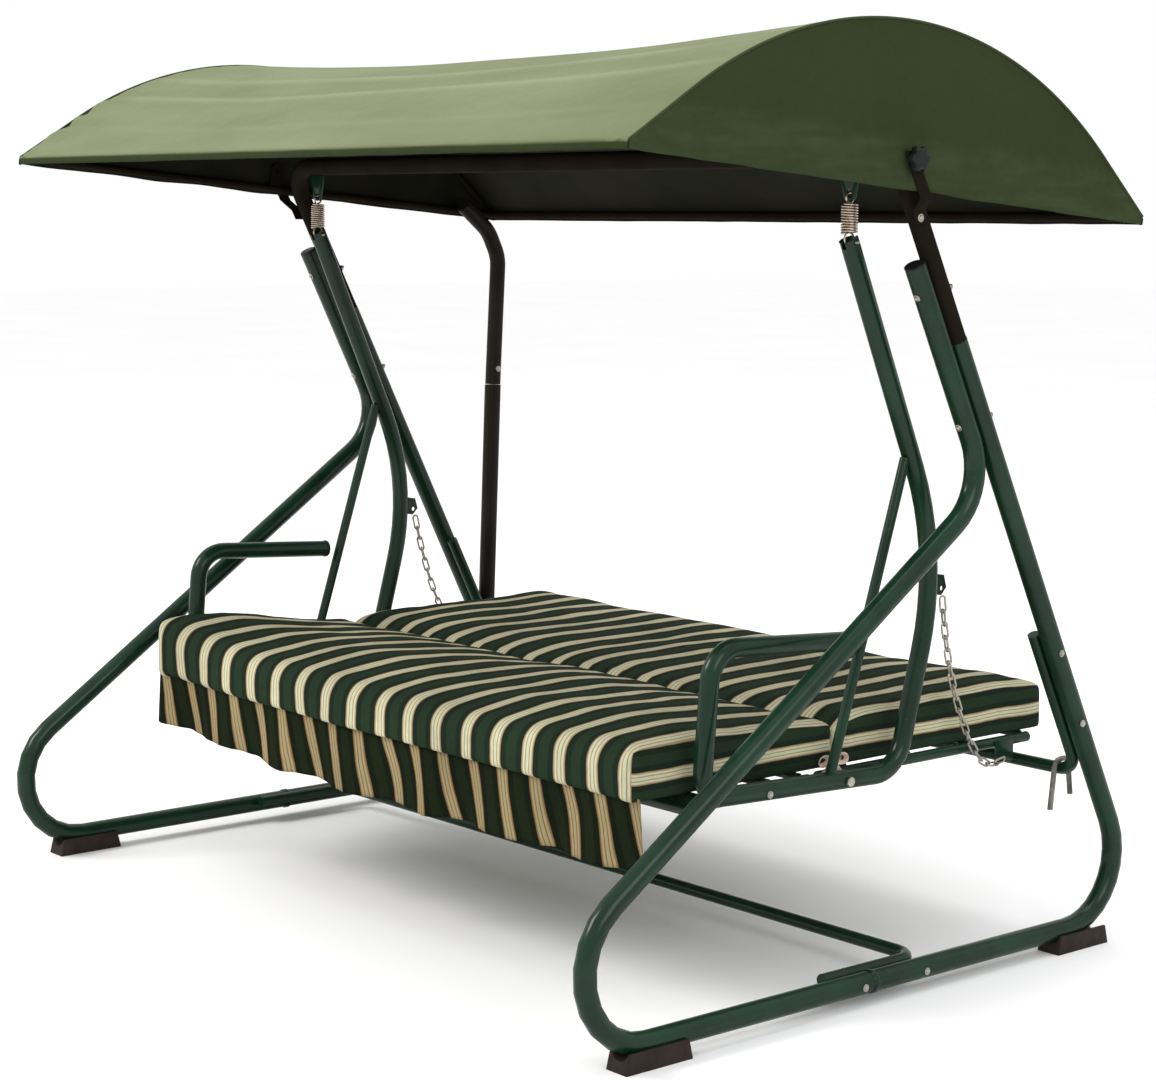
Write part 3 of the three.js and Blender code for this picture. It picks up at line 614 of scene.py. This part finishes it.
def chain(side_name, sign):
    """Oval links down the chain's route, each turned a quarter from the last."""
    last = len(CHAIN_DROP) - 1
    route = []
    for i, (y, z) in enumerate(CHAIN_DROP):
        route.append(place(sign * (ARM_X + (CHAIN_X - ARM_X) * i / last), y, z))
    route = spaced(rounded(route, 1), ROUTE_STEP)
    inset = math.ceil(LINK_HALF / ROUTE_STEP)
    centres = spaced(route[inset:-inset], LINK_PITCH)
    shapes = []
    for i, centre in enumerate(centres):
        ahead = (centres[min(i + 1, len(centres) - 1)] - centres[max(i - 1, 0)]).normalized()
        sideways = Vector((1, 0, 0)).cross(ahead).normalized()
        outward = ahead.cross(sideways)
        tilt = math.radians(20 + 90 * (i % 2))
        side = sideways * math.cos(tilt) + outward * math.sin(tilt)
        shapes.append(link_shape(centre, ahead, side))
    piece = new_piece(f"chain_links_{side_name}", *joined(shapes), ZINC)
    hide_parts(f"chain_{side_name}")
    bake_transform(piece)


for side_name, sign in SIDES.items():
    chain(side_name, sign)

# ---------------------------------------------------------------- springs

COIL_TOP = 1.446
COIL_LOW = 1.394
COIL_R = 0.0138
COIL_TURNS = 11
COIL_WIRE = 0.0019
HANG_Z = 1.466


def spring(side_name, sign):
    """One wire: a hook over the bracket, a close coil, and a hook under the arm's pin."""
    x = sign * ARM_X
    upper_z, upper_r = HANG_Z - 0.009, 0.009
    lower_z, lower_r = COIL_LOW - 0.0095, 0.0115
    path = []
    for k in range(19):
        angle = math.radians(-100 + 340 * k / 18)
        path.append(place(x, HANG_Y + upper_r * math.cos(angle), upper_z + upper_r * math.sin(angle)))
    turn_steps = 20
    steps = COIL_TURNS * turn_steps
    for k in range(steps + 1):
        angle = 2 * math.pi * k / turn_steps
        z = COIL_TOP - (COIL_TOP - COIL_LOW) * k / steps
        path.append(place(x + COIL_R * math.sin(angle), HANG_Y - COIL_R * math.cos(angle), z))
    for k in range(19):
        angle = math.radians(120 - 340 * k / 18)
        path.append(place(x, HANG_Y + lower_r * math.cos(angle), lower_z + lower_r * math.sin(angle)))
    piece = new_piece(f"spring_coil_{side_name}", *sweep(rounded(path, 1), COIL_WIRE, 7), SPRING_STEEL)
    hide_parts(f"spring_{side_name}")
    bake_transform(piece)


for side_name, sign in SIDES.items():
    spring(side_name, sign)

# ---------------------------------------------------------------- cushions


def box_skin(counts, size):
    """The faces of a box as one welded grid: (points, faces, face's side), centred on the origin."""
    index, points, faces, sides = {}, [], [], []

    def vertex(cell):
        if cell not in index:
            index[cell] = len(points)
            points.append([(c / n - 0.5) * s for c, n, s in zip(cell, counts, size)])
        return index[cell]

    for axis in range(3):
        one, two = (axis + 1) % 3, (axis + 2) % 3
        for end in (0, 1):
            for i in range(counts[one]):
                for j in range(counts[two]):
                    corners = [(i, j), (i + 1, j), (i + 1, j + 1), (i, j + 1)]
                    if end == 0:
                        corners.reverse()
                    face = []
                    for a, b in corners:
                        cell = [0, 0, 0]
                        cell[axis] = end * counts[axis]
                        cell[one], cell[two] = a, b
                        face.append(vertex(tuple(cell)))
                    faces.append(tuple(face))
                    sides.append((axis, end))
    return points, faces, sides


def lay_stripes(piece, faces, sides, places):
    """Writes the UV map in metres. Stripes run along the depth, and the end panels have their own."""
    layer = piece.data.uv_layers.new(name="stripes")
    for face, polygon, (axis, end) in zip(faces, piece.data.polygons, sides):
        for corner, vertex in zip(polygon.loop_indices, polygon.vertices):
            x, y, z = places[vertex]
            if axis == 0:
                height = piece.data.vertices[vertex].co.z + GROUND_Z
                across, along = STRIPE_EDGE + (height - GUSSET_STRIPE_Z) * GUSSET_SCALE, y
            elif axis == 1:
                across, along = x, z
            else:
                across, along = x, y
            layer.data[corner].uv = (across, along)


def swell(piece, pressure, cap, frames=16):
    """Lets a closed cover fill out under pressure, no point moving further than cap."""
    start = np.array([v.co for v in piece.data.vertices])
    cloth = piece.modifiers.new("swell", "CLOTH")
    cloth.settings.use_pressure = True
    cloth.settings.uniform_pressure_force = pressure
    cloth.settings.effector_weights.gravity = 0
    cloth.settings.tension_stiffness = 25
    cloth.settings.compression_stiffness = 8
    cloth.settings.bending_stiffness = 0.4
    cloth.point_cache.frame_start = 1
    cloth.point_cache.frame_end = frames
    scene = bpy.context.scene
    for number in range(1, frames + 1):
        scene.frame_set(number)
    shown = piece.evaluated_get(bpy.context.evaluated_depsgraph_get())
    moved = np.array([v.co for v in shown.data.vertices]) - start
    piece.modifiers.remove(cloth)
    scene.frame_set(1)
    lengths = np.linalg.norm(moved, axis=1, keepdims=True)
    ended = start + moved * np.minimum(1.0, cap / np.maximum(lengths, 1e-9))
    piece.data.vertices.foreach_set("co", ended.ravel())
    piece.data.update()


def outward_share(value, low, high, low_r, high_r):
    """Where a value lies in the rounded margins of a span: (nearest value between them, share, radius)."""
    if value < low + low_r:
        return low + low_r, (value - low - low_r) / low_r, low_r
    if value > high - high_r:
        return high - high_r, (value - high + high_r) / high_r, high_r
    return value, 0.0, 1.0


def crease(x):
    """How deep the crease between the cushions is: full at the ends, shallow along the middle."""
    return CREASE_MIDDLE + (1 - CREASE_MIDDLE) * ease(abs(x), 0.40, 0.77)


def ride_up(x, y):
    """How far the seat cushion has ridden up its left end, most of all at the front."""
    along = max(0.0, (-x - 0.10) / (PAD_HALF - 0.10))
    return LEFT_RISE * along**1.7 * ease(-y, -0.02, 0.46)


def sag(x):
    """How far the front edge hangs down between its ends."""
    return FRONT_SAG * (1 - (x / PAD_HALF) ** 2)


def pad_point(x, y, z, span, edges):
    """Moves a point of the plain box onto the pad: rounded edges, a low crown, a softly uneven top."""
    low_y, high_y = span
    front, rear = edges
    top_r = front["drop"] if y < (low_y + high_y) / 2 else rear["drop"]
    if front["at_crease"] and y < (low_y + high_y) / 2 or rear["at_crease"] and y >= (low_y + high_y) / 2:
        top_r *= crease(x)
    near_end = ease(abs(x), PAD_HALF - 0.05, PAD_HALF)
    top_r += (END_DROP - top_r) * near_end
    under_r = UNDER_R + (END_UNDER_R - UNDER_R) * near_end
    x_mid, x_share, x_r = outward_share(x, -PAD_HALF, PAD_HALF, END_R, END_R)
    y_mid, y_share, y_r = outward_share(y, low_y, high_y, front["depth"], rear["depth"])
    z_mid, z_share, z_r = outward_share(z, PAD_LOW, PAD_TOP, under_r, top_r)
    length = math.sqrt(x_share**2 + y_share**2 + z_share**2)
    if length > 0:
        x_share, y_share, z_share = x_share / length, y_share / length, z_share / length
    moved = Vector((x_mid + x_share * x_r, y_mid + y_share * y_r, z_mid + z_share * z_r))
    high = ease((moved.z - PAD_LOW) / (PAD_TOP - PAD_LOW), 0.35, 1.0)
    rise = 0.007 * math.exp(-(((y + 0.30) / 0.12) ** 2)) - 0.009 * math.exp(-((y / 0.10) ** 2))
    rise += 0.0075 * waver(x * 2.6, y * 3.4, 0, 1) + 0.0045 * waver(x * 6.5, y * 6.0, 0, 2)
    rise += 0.0016 * waver(x * 17, y * 15, 0, 3)
    moved.z += rise * high + ride_up(x, y) * (0.35 + 0.65 * high) - sag(x) * ease(-y, 0.30, 0.48)
    moved.z -= END_DROOP * near_end * (1 - high)
    bulge = 0.004 * waver(x * 5.0, z * 14, 0, 7) + 0.002 * waver(x * 15, z * 20, 0, 8)
    moved.y += bulge * abs(y_share)
    moved.x += 0.004 * waver(y * 9.0, z * 14, 0, 9) * abs(x_share) * high
    return moved


def pad(name, node, span, edges):
    """One stuffed cushion: a rounded block whose cover swells and puckers."""
    low_y, high_y = span
    size = (2 * PAD_HALF, high_y - low_y, PAD_TOP - PAD_LOW)
    counts = [max(4, round(length / 0.0125)) for length in size]
    points, faces, sides = box_skin(counts, size)
    places = []
    for x, y, z in points:
        places.append((x, y + (low_y + high_y) / 2, z + (PAD_LOW + PAD_TOP) / 2))
    shaped = [pad_point(*p, span, edges) for p in places]
    piece = new_piece(name, [place(*p) for p in shaped], faces, CLOTH)
    lay_stripes(piece, faces, sides, places)
    swell(piece, 3.0, SWELL)
    for vertex in piece.data.vertices:
        vertex.co.z = max(vertex.co.z, PAD_REST - GROUND_Z)
    smooth = piece.modifiers.new("fine", "SUBSURF")
    smooth.levels = 1
    smooth.render_levels = 1
    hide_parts(node)
    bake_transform(piece)


pad("seat_pad", "seat_cushion", SEAT_PAD_Y, (SEAT_FRONT_EDGE, SEAT_REAR_EDGE))
pad("backrest_pad", "backrest_cushion", BACK_PAD_Y, (BACK_FRONT_EDGE, BACK_REAR_EDGE))

# ---------------------------------------------------------------- valance


def valance():
    """A strip of the striped cloth sewn under the front edge, falling in soft folds."""
    columns, rows = 300, 16
    points, uvs = [], []
    for i in range(columns + 1):
        x = -PAD_HALF + 2 * PAD_HALF * i / columns
        wave = 0.7 * math.sin(x * 27 + 3.0 * waver(x * 2.3, 0, 0, 3)) + 0.8 * waver(x * 9, 0, 0, 4)
        wave += 0.35 * waver(x * 24, 0, 0, 35)
        sway = 0.8 * waver(x * 4.0, 0, 0, 5)
        rise = ride_up(x, SEAT_PAD_Y[0])
        foot = VALANCE_LOW + 0.010 * waver(x * 5.0, 0, 0, 6) + 0.003 * wave + 0.7 * rise - 0.8 * sag(x)
        for j in range(rows + 1):
            share = j / rows
            top = VALANCE_TOP + 0.9 * rise - sag(x)
            z = top + (foot - top) * share
            depth = VALANCE_Y + 0.0150 * wave * (0.15 + 0.85 * share)
            bow = math.sin(math.pi * share) * 0.016 * waver(x * 5.5, 0, 0, 36)
            points.append(place(x + 0.014 * sway * share, depth, z))
            uvs.append((x - 0.034 * share + 0.012 * share * sway + bow, z))
    faces = []
    for i in range(columns):
        for j in range(rows):
            a = i * (rows + 1) + j
            faces.append((a, a + 1, a + rows + 2, a + rows + 1))
    piece = new_piece("front_valance", points, faces, VALANCE_CLOTH_SHADED)
    layer = piece.data.uv_layers.new(name="stripes")
    for loop in piece.data.loops:
        layer.data[loop.index].uv = uvs[loop.vertex_index]
    thick = piece.modifiers.new("cloth", "SOLIDIFY")
    thick.thickness = 0.0014
    thick.offset = 0
    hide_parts("seat_valance")
    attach(piece, "seat")


valance()

# ---------------------------------------------------------------- canopy

TAN_TAIL = math.tan(CANOPY_TAIL)
ARCH_R = (CANOPY_HALF * TAN_TAIL - CANOPY_RISE) / (
    math.sin(CANOPY_TAIL) * TAN_TAIL - 1 + math.cos(CANOPY_TAIL)
)


def canopy_point(x, u, v):
    """A point of the canopy's own frame in the frame of the bench."""
    y = CANOPY_PIVOT[0] + u * math.cos(CANOPY_TILT) + v * math.sin(CANOPY_TILT)
    z = CANOPY_PIVOT[1] - u * math.sin(CANOPY_TILT) + v * math.cos(CANOPY_TILT)
    return place(x, y, z)


def arch_stations(step):
    """(u, v, normal u, normal v) along the arch, from the front corner to the rear, v from the chord."""
    tail_u = ARCH_R * math.sin(CANOPY_TAIL)
    tail = (CANOPY_HALF - tail_u) / math.cos(CANOPY_TAIL)
    arc = 2 * ARCH_R * CANOPY_TAIL
    total = 2 * tail + arc
    count = round(total / step)
    stations = []
    for k in range(count + 1):
        at = total * k / count
        if at < tail:
            angle = -CANOPY_TAIL
            u = -CANOPY_HALF + at * math.cos(CANOPY_TAIL)
            v = at * math.sin(CANOPY_TAIL)
        elif at < tail + arc:
            angle = (at - tail) / ARCH_R - CANOPY_TAIL
            u = ARCH_R * math.sin(angle)
            v = CANOPY_RISE - ARCH_R + ARCH_R * math.cos(angle)
        else:
            angle = CANOPY_TAIL
            u = CANOPY_HALF - (total - at) * math.cos(CANOPY_TAIL)
            v = (total - at) * math.sin(CANOPY_TAIL)
        stations.append((u, v, math.sin(angle), math.cos(angle)))
    return stations


def fold_lines(x, u, v):
    """How near a point of the front slope is to the creases that folding left along the roof, 0 to 1."""
    if u > 0:
        return 0.0
    across = min(abs(x) / CANOPY_X, 1.0)
    near = 0.0
    for level, strength, seed in FOLDS:
        wander = level + 0.008 * waver(x * 1.7, 0, 0, seed) + 0.012 * (x / CANOPY_X) ** 2
        patchy = 0.7 + 0.5 * waver(x * 4, 0, 0, seed + 40)
        near += strength * patchy * math.exp(-(((v - wander) / 0.0065) ** 2))
    return min(near, 1.0) * (1 - across**8)


def gathers(x, v):
    """Short folds that the seam gathers near the left end of the front slope."""
    from_end = x + CANOPY_X
    held = ease(v, 0.02, 0.06) * (1 - ease(v, 0.13, 0.18))
    return math.sin(v * 150 + 1.5 * waver(v * 20, 0, 0, 41)) * held * math.exp(-from_end / 0.045)


def roof_lift(x, u, v):
    """How far the roof's cloth stands off the plain arch: the sag between the ends, creases and puckers."""
    across = min(abs(x) / CANOPY_X, 1.0)
    high = ease(v, 0.0, 0.24)
    lift = -CROWN_SAG * (1 - across**2.4) * high
    lift += 0.0036 * fold_lines(x, u, v)
    if u < 0:
        lift += 0.0045 * gathers(x, v)
    to_corner = math.hypot((1 - across) * CANOPY_X, min(v, 0.1) * 1.4)
    fan = math.atan2(v + 0.01, (1 - across) * CANOPY_X + 0.004)
    lift += 0.0032 * math.sin(fan * 19 + waver(x * 5, u * 5, 0, 14)) * math.exp(-to_corner / 0.07)
    near_end = math.exp(-(1 - across) * CANOPY_X / 0.035)
    lift += 0.0014 * near_end * waver(u * 34, v * 34, 0, 15 + math.copysign(1, x))
    lift += 0.0040 * waver(x * 1.9, u * 5.0, 0, 17) * (1 - across**6) * ease(v, 0.0, 0.06)
    return lift


def panel_stand(u, v, height, sign):
    """How far a side panel's cloth stands out: the doubled band, its wrinkles and the knob's pull."""
    band = 1 - ease(v, BAND_HEIGHT - 0.004, BAND_HEIGHT + 0.004 + 0.006 * waver(u * 16, 0, 0, 21))
    stand = 0.0012 * band
    stand += 0.0036 * band * waver(u * 17, v * 34, 0, 22 + sign)
    stand += 0.0018 * band * waver(u * 45, v * 60, 0, 25 + sign)
    stand += 0.0020 * waver(u * 3.5, v * 5, 0, 28 + sign) * ease(height - v, 0.0, 0.08)
    knob_u, knob_v = -CHORD[0], -CHORD[1]
    away = math.hypot(u - knob_u, v - knob_v)
    fan = math.atan2(v - knob_v, u - knob_u)
    stand += 0.0022 * math.sin(fan * 9 + 1) * math.exp(-(((away - 0.045) / 0.03) ** 2))
    return stand - 0.0014


def row_of(stations, i):
    """The arch's station for a row and the row's drop below it. Two rows past each end make the hem."""
    last = len(stations) - 1
    below = 0.0
    if i < 0:
        below = HEM_ROWS[i]
    elif i > last:
        below = HEM_ROWS[last - i]
    return (*stations[min(max(i, 0), last)], below)


def canopy_mesh():
    """Roof, side panels and hem as one welded sheet, with where the roof and the band are."""
    stations = arch_stations(0.0105)
    half = 84
    ring = [CANOPY_X - 0.0045, CANOPY_X - 0.0018]
    edge_start = CANOPY_X - 0.010
    xs = [edge_start * (k / half) for k in range(-half, half + 1)]
    xs = [-x for x in reversed(ring)] + xs + ring
    points, faces, index = [], [], {}
    marks = {"roof": [], "band": [], "pale_creases": []}

    def add(key, point, roof, band, pale_creases=0.0):
        index[key] = len(points)
        points.append(point)
        marks["roof"].append(roof)
        marks["band"].append(band)
        marks["pale_creases"].append(pale_creases)

    chord_u, chord_v = CHORD
    last = len(stations) - 1
    for i in range(-2, last + 3):
        u, v, nu, nv, below = row_of(stations, i)
        for j, x in enumerate(xs):
            lift = roof_lift(x, u, v) if below == 0 else 0.0012 * waver(x * 12, below * 90, 0, 31)
            round_off = max(abs(x) - (CANOPY_X - 0.006), 0.0)
            lift -= round_off * 0.35
            place_u = chord_u + u + nu * lift
            place_v = chord_v + v + nv * lift - below
            # the hem rows are left off the roof, so they take the dark side colour: painted shade
            on_roof = 1.0 if below == 0 else 0.0
            add((i, j), canopy_point(x, place_u, place_v), on_roof, 0.0, 0.5 * fold_lines(x, u, v) * on_roof)
    depths = [0.004, 0.009, 0.013, 0.018, 0.028]
    rows = 16
    for sign in (-1, 1):
        for i in range(-2, last + 3):
            u, v, _, _, below = row_of(stations, i)
            top = v - below
            foot = -HEM - 0.006 + 0.004 * waver(u * 8, 0, 0, 33 + sign)
            height = max(top - foot, 0.0)
            for k in range(1, rows + 1):
                if k <= len(depths):
                    drop = min(depths[k - 1], height * k / rows)
                else:
                    first = min(depths[-1], height * len(depths) / rows)
                    drop = first + (height - first) * (k - len(depths)) / (rows - len(depths))
                at = top - drop
                seam = 0.0011 if k == 3 and height > 0.08 else 0.0
                stand = panel_stand(u, at, v, sign) * ease(drop, 0.0, 0.02)
                inward = 0.0035 * math.sin(math.pi * min(max(at / max(v, 0.01), 0), 1)) * ease(v, 0.05, 0.2)
                x = sign * (CANOPY_X + 0.0005 + stand - seam - inward)
                band_top = BAND_HEIGHT + 0.004 + 0.006 * waver(u * 16, 0, 0, 21)
                band = 1 - ease(at, BAND_HEIGHT - 0.003, band_top)
                add((i, sign, k), canopy_point(x, chord_u + u, chord_v + at), 0.0, band)
    for i in range(-2, last + 2):
        for j in range(len(xs) - 1):
            faces.append((index[i, j], index[i, j + 1], index[i + 1, j + 1], index[i + 1, j]))
        for sign, edge_j in ((-1, 0), (1, len(xs) - 1)):
            for k in range(rows):
                a = index[i, edge_j] if k == 0 else index[i, sign, k]
                b = index[i + 1, edge_j] if k == 0 else index[i + 1, sign, k]
                c, d = index[i + 1, sign, k + 1], index[i, sign, k + 1]
                faces.append((a, d, c, b) if sign > 0 else (a, b, c, d))
    return points, faces, marks


def canopy():
    points, faces, marks = canopy_mesh()
    piece = new_piece("canopy_cover", points, faces, CANOPY_CLOTH)
    piece.data.materials.append(LINING)
    for name, values in marks.items():
        attribute = piece.data.attributes.new(name, "FLOAT", "POINT")
        attribute.data.foreach_set("value", values)
    thick = piece.modifiers.new("cloth", "SOLIDIFY")
    thick.thickness = 0.0016
    thick.offset = -1
    thick.material_offset = 1
    thick.material_offset_rim = 0
    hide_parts("canopy_fabric")
    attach(piece, "canopy")


def canopy_piping(side_name, sign):
    """The corded seam where the roof meets a side panel."""
    chord_u, chord_v = CHORD
    path = []
    for u, v, nu, nv in arch_stations(0.012):
        x = sign * (CANOPY_X + 0.0004)
        path.append(canopy_point(x, chord_u + u - nu * 0.001, chord_v + v - nv * 0.001))
    piece = new_piece(f"canopy_piping_{side_name}", *sweep(path, 0.0022, 8), CANOPY_CLOTH)
    # a roof share of 0.12 gives the piping mostly the dark side colour: painted shade
    attribute = piece.data.attributes.new("roof", "FLOAT", "POINT")
    attribute.data.foreach_set("value", [0.12] * len(piece.data.vertices))
    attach(piece, "canopy")


canopy()
for side_name, sign in SIDES.items():
    canopy_piping(side_name, sign)

# ---------------------------------------------------------------- knobs

KNOB_LOBES = 6


def knob(side_name, sign):
    """A lobed hand knob with a domed face and a round boss."""
    inner, outer = 0.9919, 1.0128
    steps = KNOB_LOBES * 10
    sections = [
        (0.0, 0.50), (0.0002, 0.62), (0.004, 0.66), (0.005, 0.92), (0.0065, 0.985), (0.009, 1.0),
        (0.015, 1.0), (0.0178, 0.97), (0.0195, 0.90), (0.0205, 0.70), (0.0209, 0.40), (0.0205, 0.16),
    ]
    centre = canopy_point(0, 0, 0)
    points, faces = [], []
    for along, share in sections:
        for k in range(steps):
            angle = 2 * math.pi * k / steps
            lobe = 0.0208 + 0.0032 * math.cos(KNOB_LOBES * angle) * ease(share, 0.6, 0.95)
            radius = lobe * share
            x = sign * (inner + along)
            y = centre.y + radius * math.cos(angle)
            z = centre.z + radius * math.sin(angle)
            points.append(Vector((x, y, z)))
    for r in range(len(sections) - 1):
        for k in range(steps):
            m = (k + 1) % steps
            face = (r * steps + k, r * steps + m, (r + 1) * steps + m, (r + 1) * steps + k)
            faces.append(face if sign > 0 else tuple(reversed(face)))
    first = tuple(range(steps))
    final = tuple(range((len(sections) - 1) * steps, len(sections) * steps))
    faces.append(tuple(reversed(first)) if sign > 0 else first)
    faces.append(final if sign > 0 else tuple(reversed(final)))
    piece = new_piece(f"hand_knob_{side_name}", points, faces, BLACK_PLASTIC)
    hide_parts(f"canopy_knob_{side_name}")
    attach(piece, "canopy")


for side_name, sign in SIDES.items():
    knob(side_name, sign)

# ---------------------------------------------------------------- bolts, plugs and welds


def bolt(name, at, out, body, size=0.0046):
    """A domed bolt head on a washer, standing on the surface at a point."""
    rim = [(-0.001, 0), (-0.001, size * 1.5), (0.0008, size * 1.5), (0.0012, size * 1.35), (0.0012, 0)]
    washer = lathe(rim, at, out)
    dome = [(0.0010, 0), (0.0010, size)]
    for k in range(1, 7):
        angle = math.radians(15 * k)
        dome.append((0.0014 + 0.0034 * math.sin(angle), size * math.cos(angle) if k < 6 else 0))
    head = lathe(dome, at, out)
    piece = new_piece(name, *joined([washer, head]), ZINC)
    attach(piece, body)


def nut(name, at, out, body, size=0.0056):
    """A hexagon nut with the bolt's end standing through it."""
    washer = lathe([(-0.001, 0), (-0.001, size * 1.45), (0.0012, size * 1.45), (0.0012, 0)], at, out)
    flats = [(0.0012, 0), (0.0012, size * 1.08), (0.0058, size * 1.12), (0.0066, size), (0.0066, 0)]
    hexagon = lathe(flats, at, out, 6)
    shank = [(0.0060, 0), (0.0060, size * 0.55), (0.0100, size * 0.55), (0.0106, size * 0.4), (0.0106, 0)]
    end = lathe(shank, at, out)
    piece = new_piece(name, *joined([washer, hexagon, end]), ZINC)
    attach(piece, body)


def plug(name, at, out, body, radius):
    """A domed plastic plug closing a tube's end."""
    shares = [(-0.004, 0), (-0.004, 0.9), (0.0, 0.9), (0.0003, 1.01), (0.0022, 0.99)]
    shares += [(0.0040, 0.86), (0.0052, 0.55), (0.0056, 0)]
    profile = [(along, radius * share) for along, share in shares]
    piece = new_piece(name, *lathe(profile, at, out, 24), BLACK_PLASTIC)
    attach(piece, body)


def frame_fasteners(side_name, sign):
    length = math.hypot(1, LEG_LEAN)
    ahead = Vector((0, -1, -LEG_LEAN)) / length
    up = Vector((0, -LEG_LEAN, 1)) / length
    x = sign * FRAME_X
    for number, z in enumerate((1.290, 1.056)):
        centre = place(x, leg_y(z) - LEG_SPACING, z)
        bolt(f"leg_bolt_{side_name}_{number}", centre + ahead * FRAME_R, ahead, "frame")
        behind = place(x, leg_y(z), z)
        nut(f"leg_nut_{side_name}_{number}", behind - ahead * 0.0195, -ahead, "frame")
    outward = Vector((sign, 0, 0))
    spots = {"rear_bar": [(0.452, 0.608), (0.521, 0.465)], "base": [(-0.067, 0.058), (0.095, 0.058)]}
    for group, places in spots.items():
        for number, (y, z) in enumerate(places):
            at = place(x + sign * FRAME_R, y, z)
            bolt(f"{group}_bolt_{side_name}_{number}", at, outward, "frame")
    bolt(f"rail_bolt_{side_name}", place(sign * (ARM_X + ARM_R), -0.201, 0.409), outward, "seat")
    top = place(x, leg_y(LEG_TOP_Z) - LEG_SPACING, LEG_TOP_Z)
    plug(f"leg_plug_{side_name}", top, up, "frame", FRAME_R)
    strap = place(sign * 0.9625, 0.030, 1.422)
    bolt(f"strap_bolt_{side_name}", strap, outward, "frame", 0.005)


def swaged_lip(side_name, sign):
    """The widened mouth of the front ground tube, which takes the end of the rear one."""
    at = place(sign * FRAME_X, BASE_JOINT_Y - 0.004, 0.060)
    inner, outer = FRAME_R - 0.001, FRAME_R + 0.0016
    section = [(-0.010, inner), (-0.008, outer), (0.0025, outer), (0.0035, outer - 0.0006), (0.0035, inner)]
    profile = [(-0.010, 0), *section, (0.0035, 0)]
    piece = new_piece(f"ground_tube_lip_{side_name}", *lathe(profile, at, (0, 1, 0), 32), GREEN)
    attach(piece, "frame")


for side_name, sign in SIDES.items():
    frame_fasteners(side_name, sign)
    swaged_lip(side_name, sign)
bolt("post_bolt", place(-FRAME_X + 0.019, 0.587, 1.050), (1, 0, 0), "frame")

# ---------------------------------------------------------------- cushion ties


def ribbon(path, width, thickness):
    """A flat ribbon along a path, standing on edge."""
    return sweep(rounded(path, 2), width / 2, 8, flat=thickness / width)


def tie(side_name, sign):
    """A ribbon tied in a small bow round the seat rail, at the gap between the cushions."""
    x = sign * 0.800
    y, z = -0.006, 0.437
    shapes = []
    for way in (-1, 1):
        loop = [(0, 0), (0.016, 0.012), (0.034, 0.010), (0.036, -0.006), (0.016, -0.006), (0, 0)]
        outward = (0, 0.006, 0.010, 0.008, 0.003, 0)
        path = [place(x + sign * a, y + way * b, z + c) for a, (b, c) in zip(outward, loop)]
        shapes.append(ribbon(path, 0.010, 0.0014))
        tail = [(0.002, 0, 0), (0.010, way * 0.014, -0.014), (0.010, way * 0.026, -0.026 - 0.006 * way)]
        shapes.append(ribbon([place(x + sign * a, y + b, z + c) for a, b, c in tail], 0.009, 0.0014))
    knot = [(0.001, 0.004, 0.004), (0.006, 0, 0), (0.001, -0.004, -0.005)]
    shapes.append(ribbon([place(x + sign * a, y + b, z + c) for a, b, c in knot], 0.009, 0.004))
    piece = new_piece(f"cushion_tie_{side_name}", *joined(shapes), RIBBON)
    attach(piece, "seat")


for side_name, sign in SIDES.items():
    tie(side_name, sign)

# ---------------------------------------------------------------- floor, light and world


def add_floor():
    size = 40.0
    corners = [(-size, -size, 0), (size, -size, 0), (size, size, 0), (-size, size, 0)]
    s = Shader("floor_material", 0.9)
    s.set(Specular_IOR_Level=0.1)
    colour = s.ramp(s.noise(0.7, 3.0), [(0.3, (0.975, 0.975, 0.975)), (0.7, (0.995, 0.995, 0.995))])
    floor = new_piece("floor", corners, [(0, 1, 2, 3)], s.finish(colour))


def add_light(name, at, target, size, power, colour=(1, 1, 1)):
    data = bpy.data.lights.new(name, "AREA")
    data.shape = "DISK"
    data.size = size
    data.energy = power
    data.color = colour
    light = bpy.data.objects.new(name, data)
    bpy.context.scene.collection.objects.link(light)
    light.location = at
    direction = Vector(target) - Vector(at)
    light.rotation_euler = direction.to_track_quat("-Z", "Y").to_euler()


def add_world():
    world = bpy.data.worlds.new("world")
    bpy.context.scene.world = world
    world.use_nodes = True
    background = world.node_tree.nodes["Background"]
    background.inputs["Color"].default_value = (1.0, 1.0, 1.0, 1.0)
    background.inputs["Strength"].default_value = 1.0


add_floor()
add_light("key_light", (-3.2, -5.2, 5.2), (0, 0, 0.8), 3.0, 300, (1.0, 0.98, 0.94))
add_light("side_light", (5.5, -1.0, 3.4), (0.3, 0, 0.7), 3.0, 70, (0.96, 0.98, 1.0))
add_light("top_light", (0.5, 0.6, 5.5), (0, 0, 1.0), 3.5, 110)
add_world()
bpy.context.scene.view_settings.view_transform = "Standard"

bpy.context.view_layer.update()
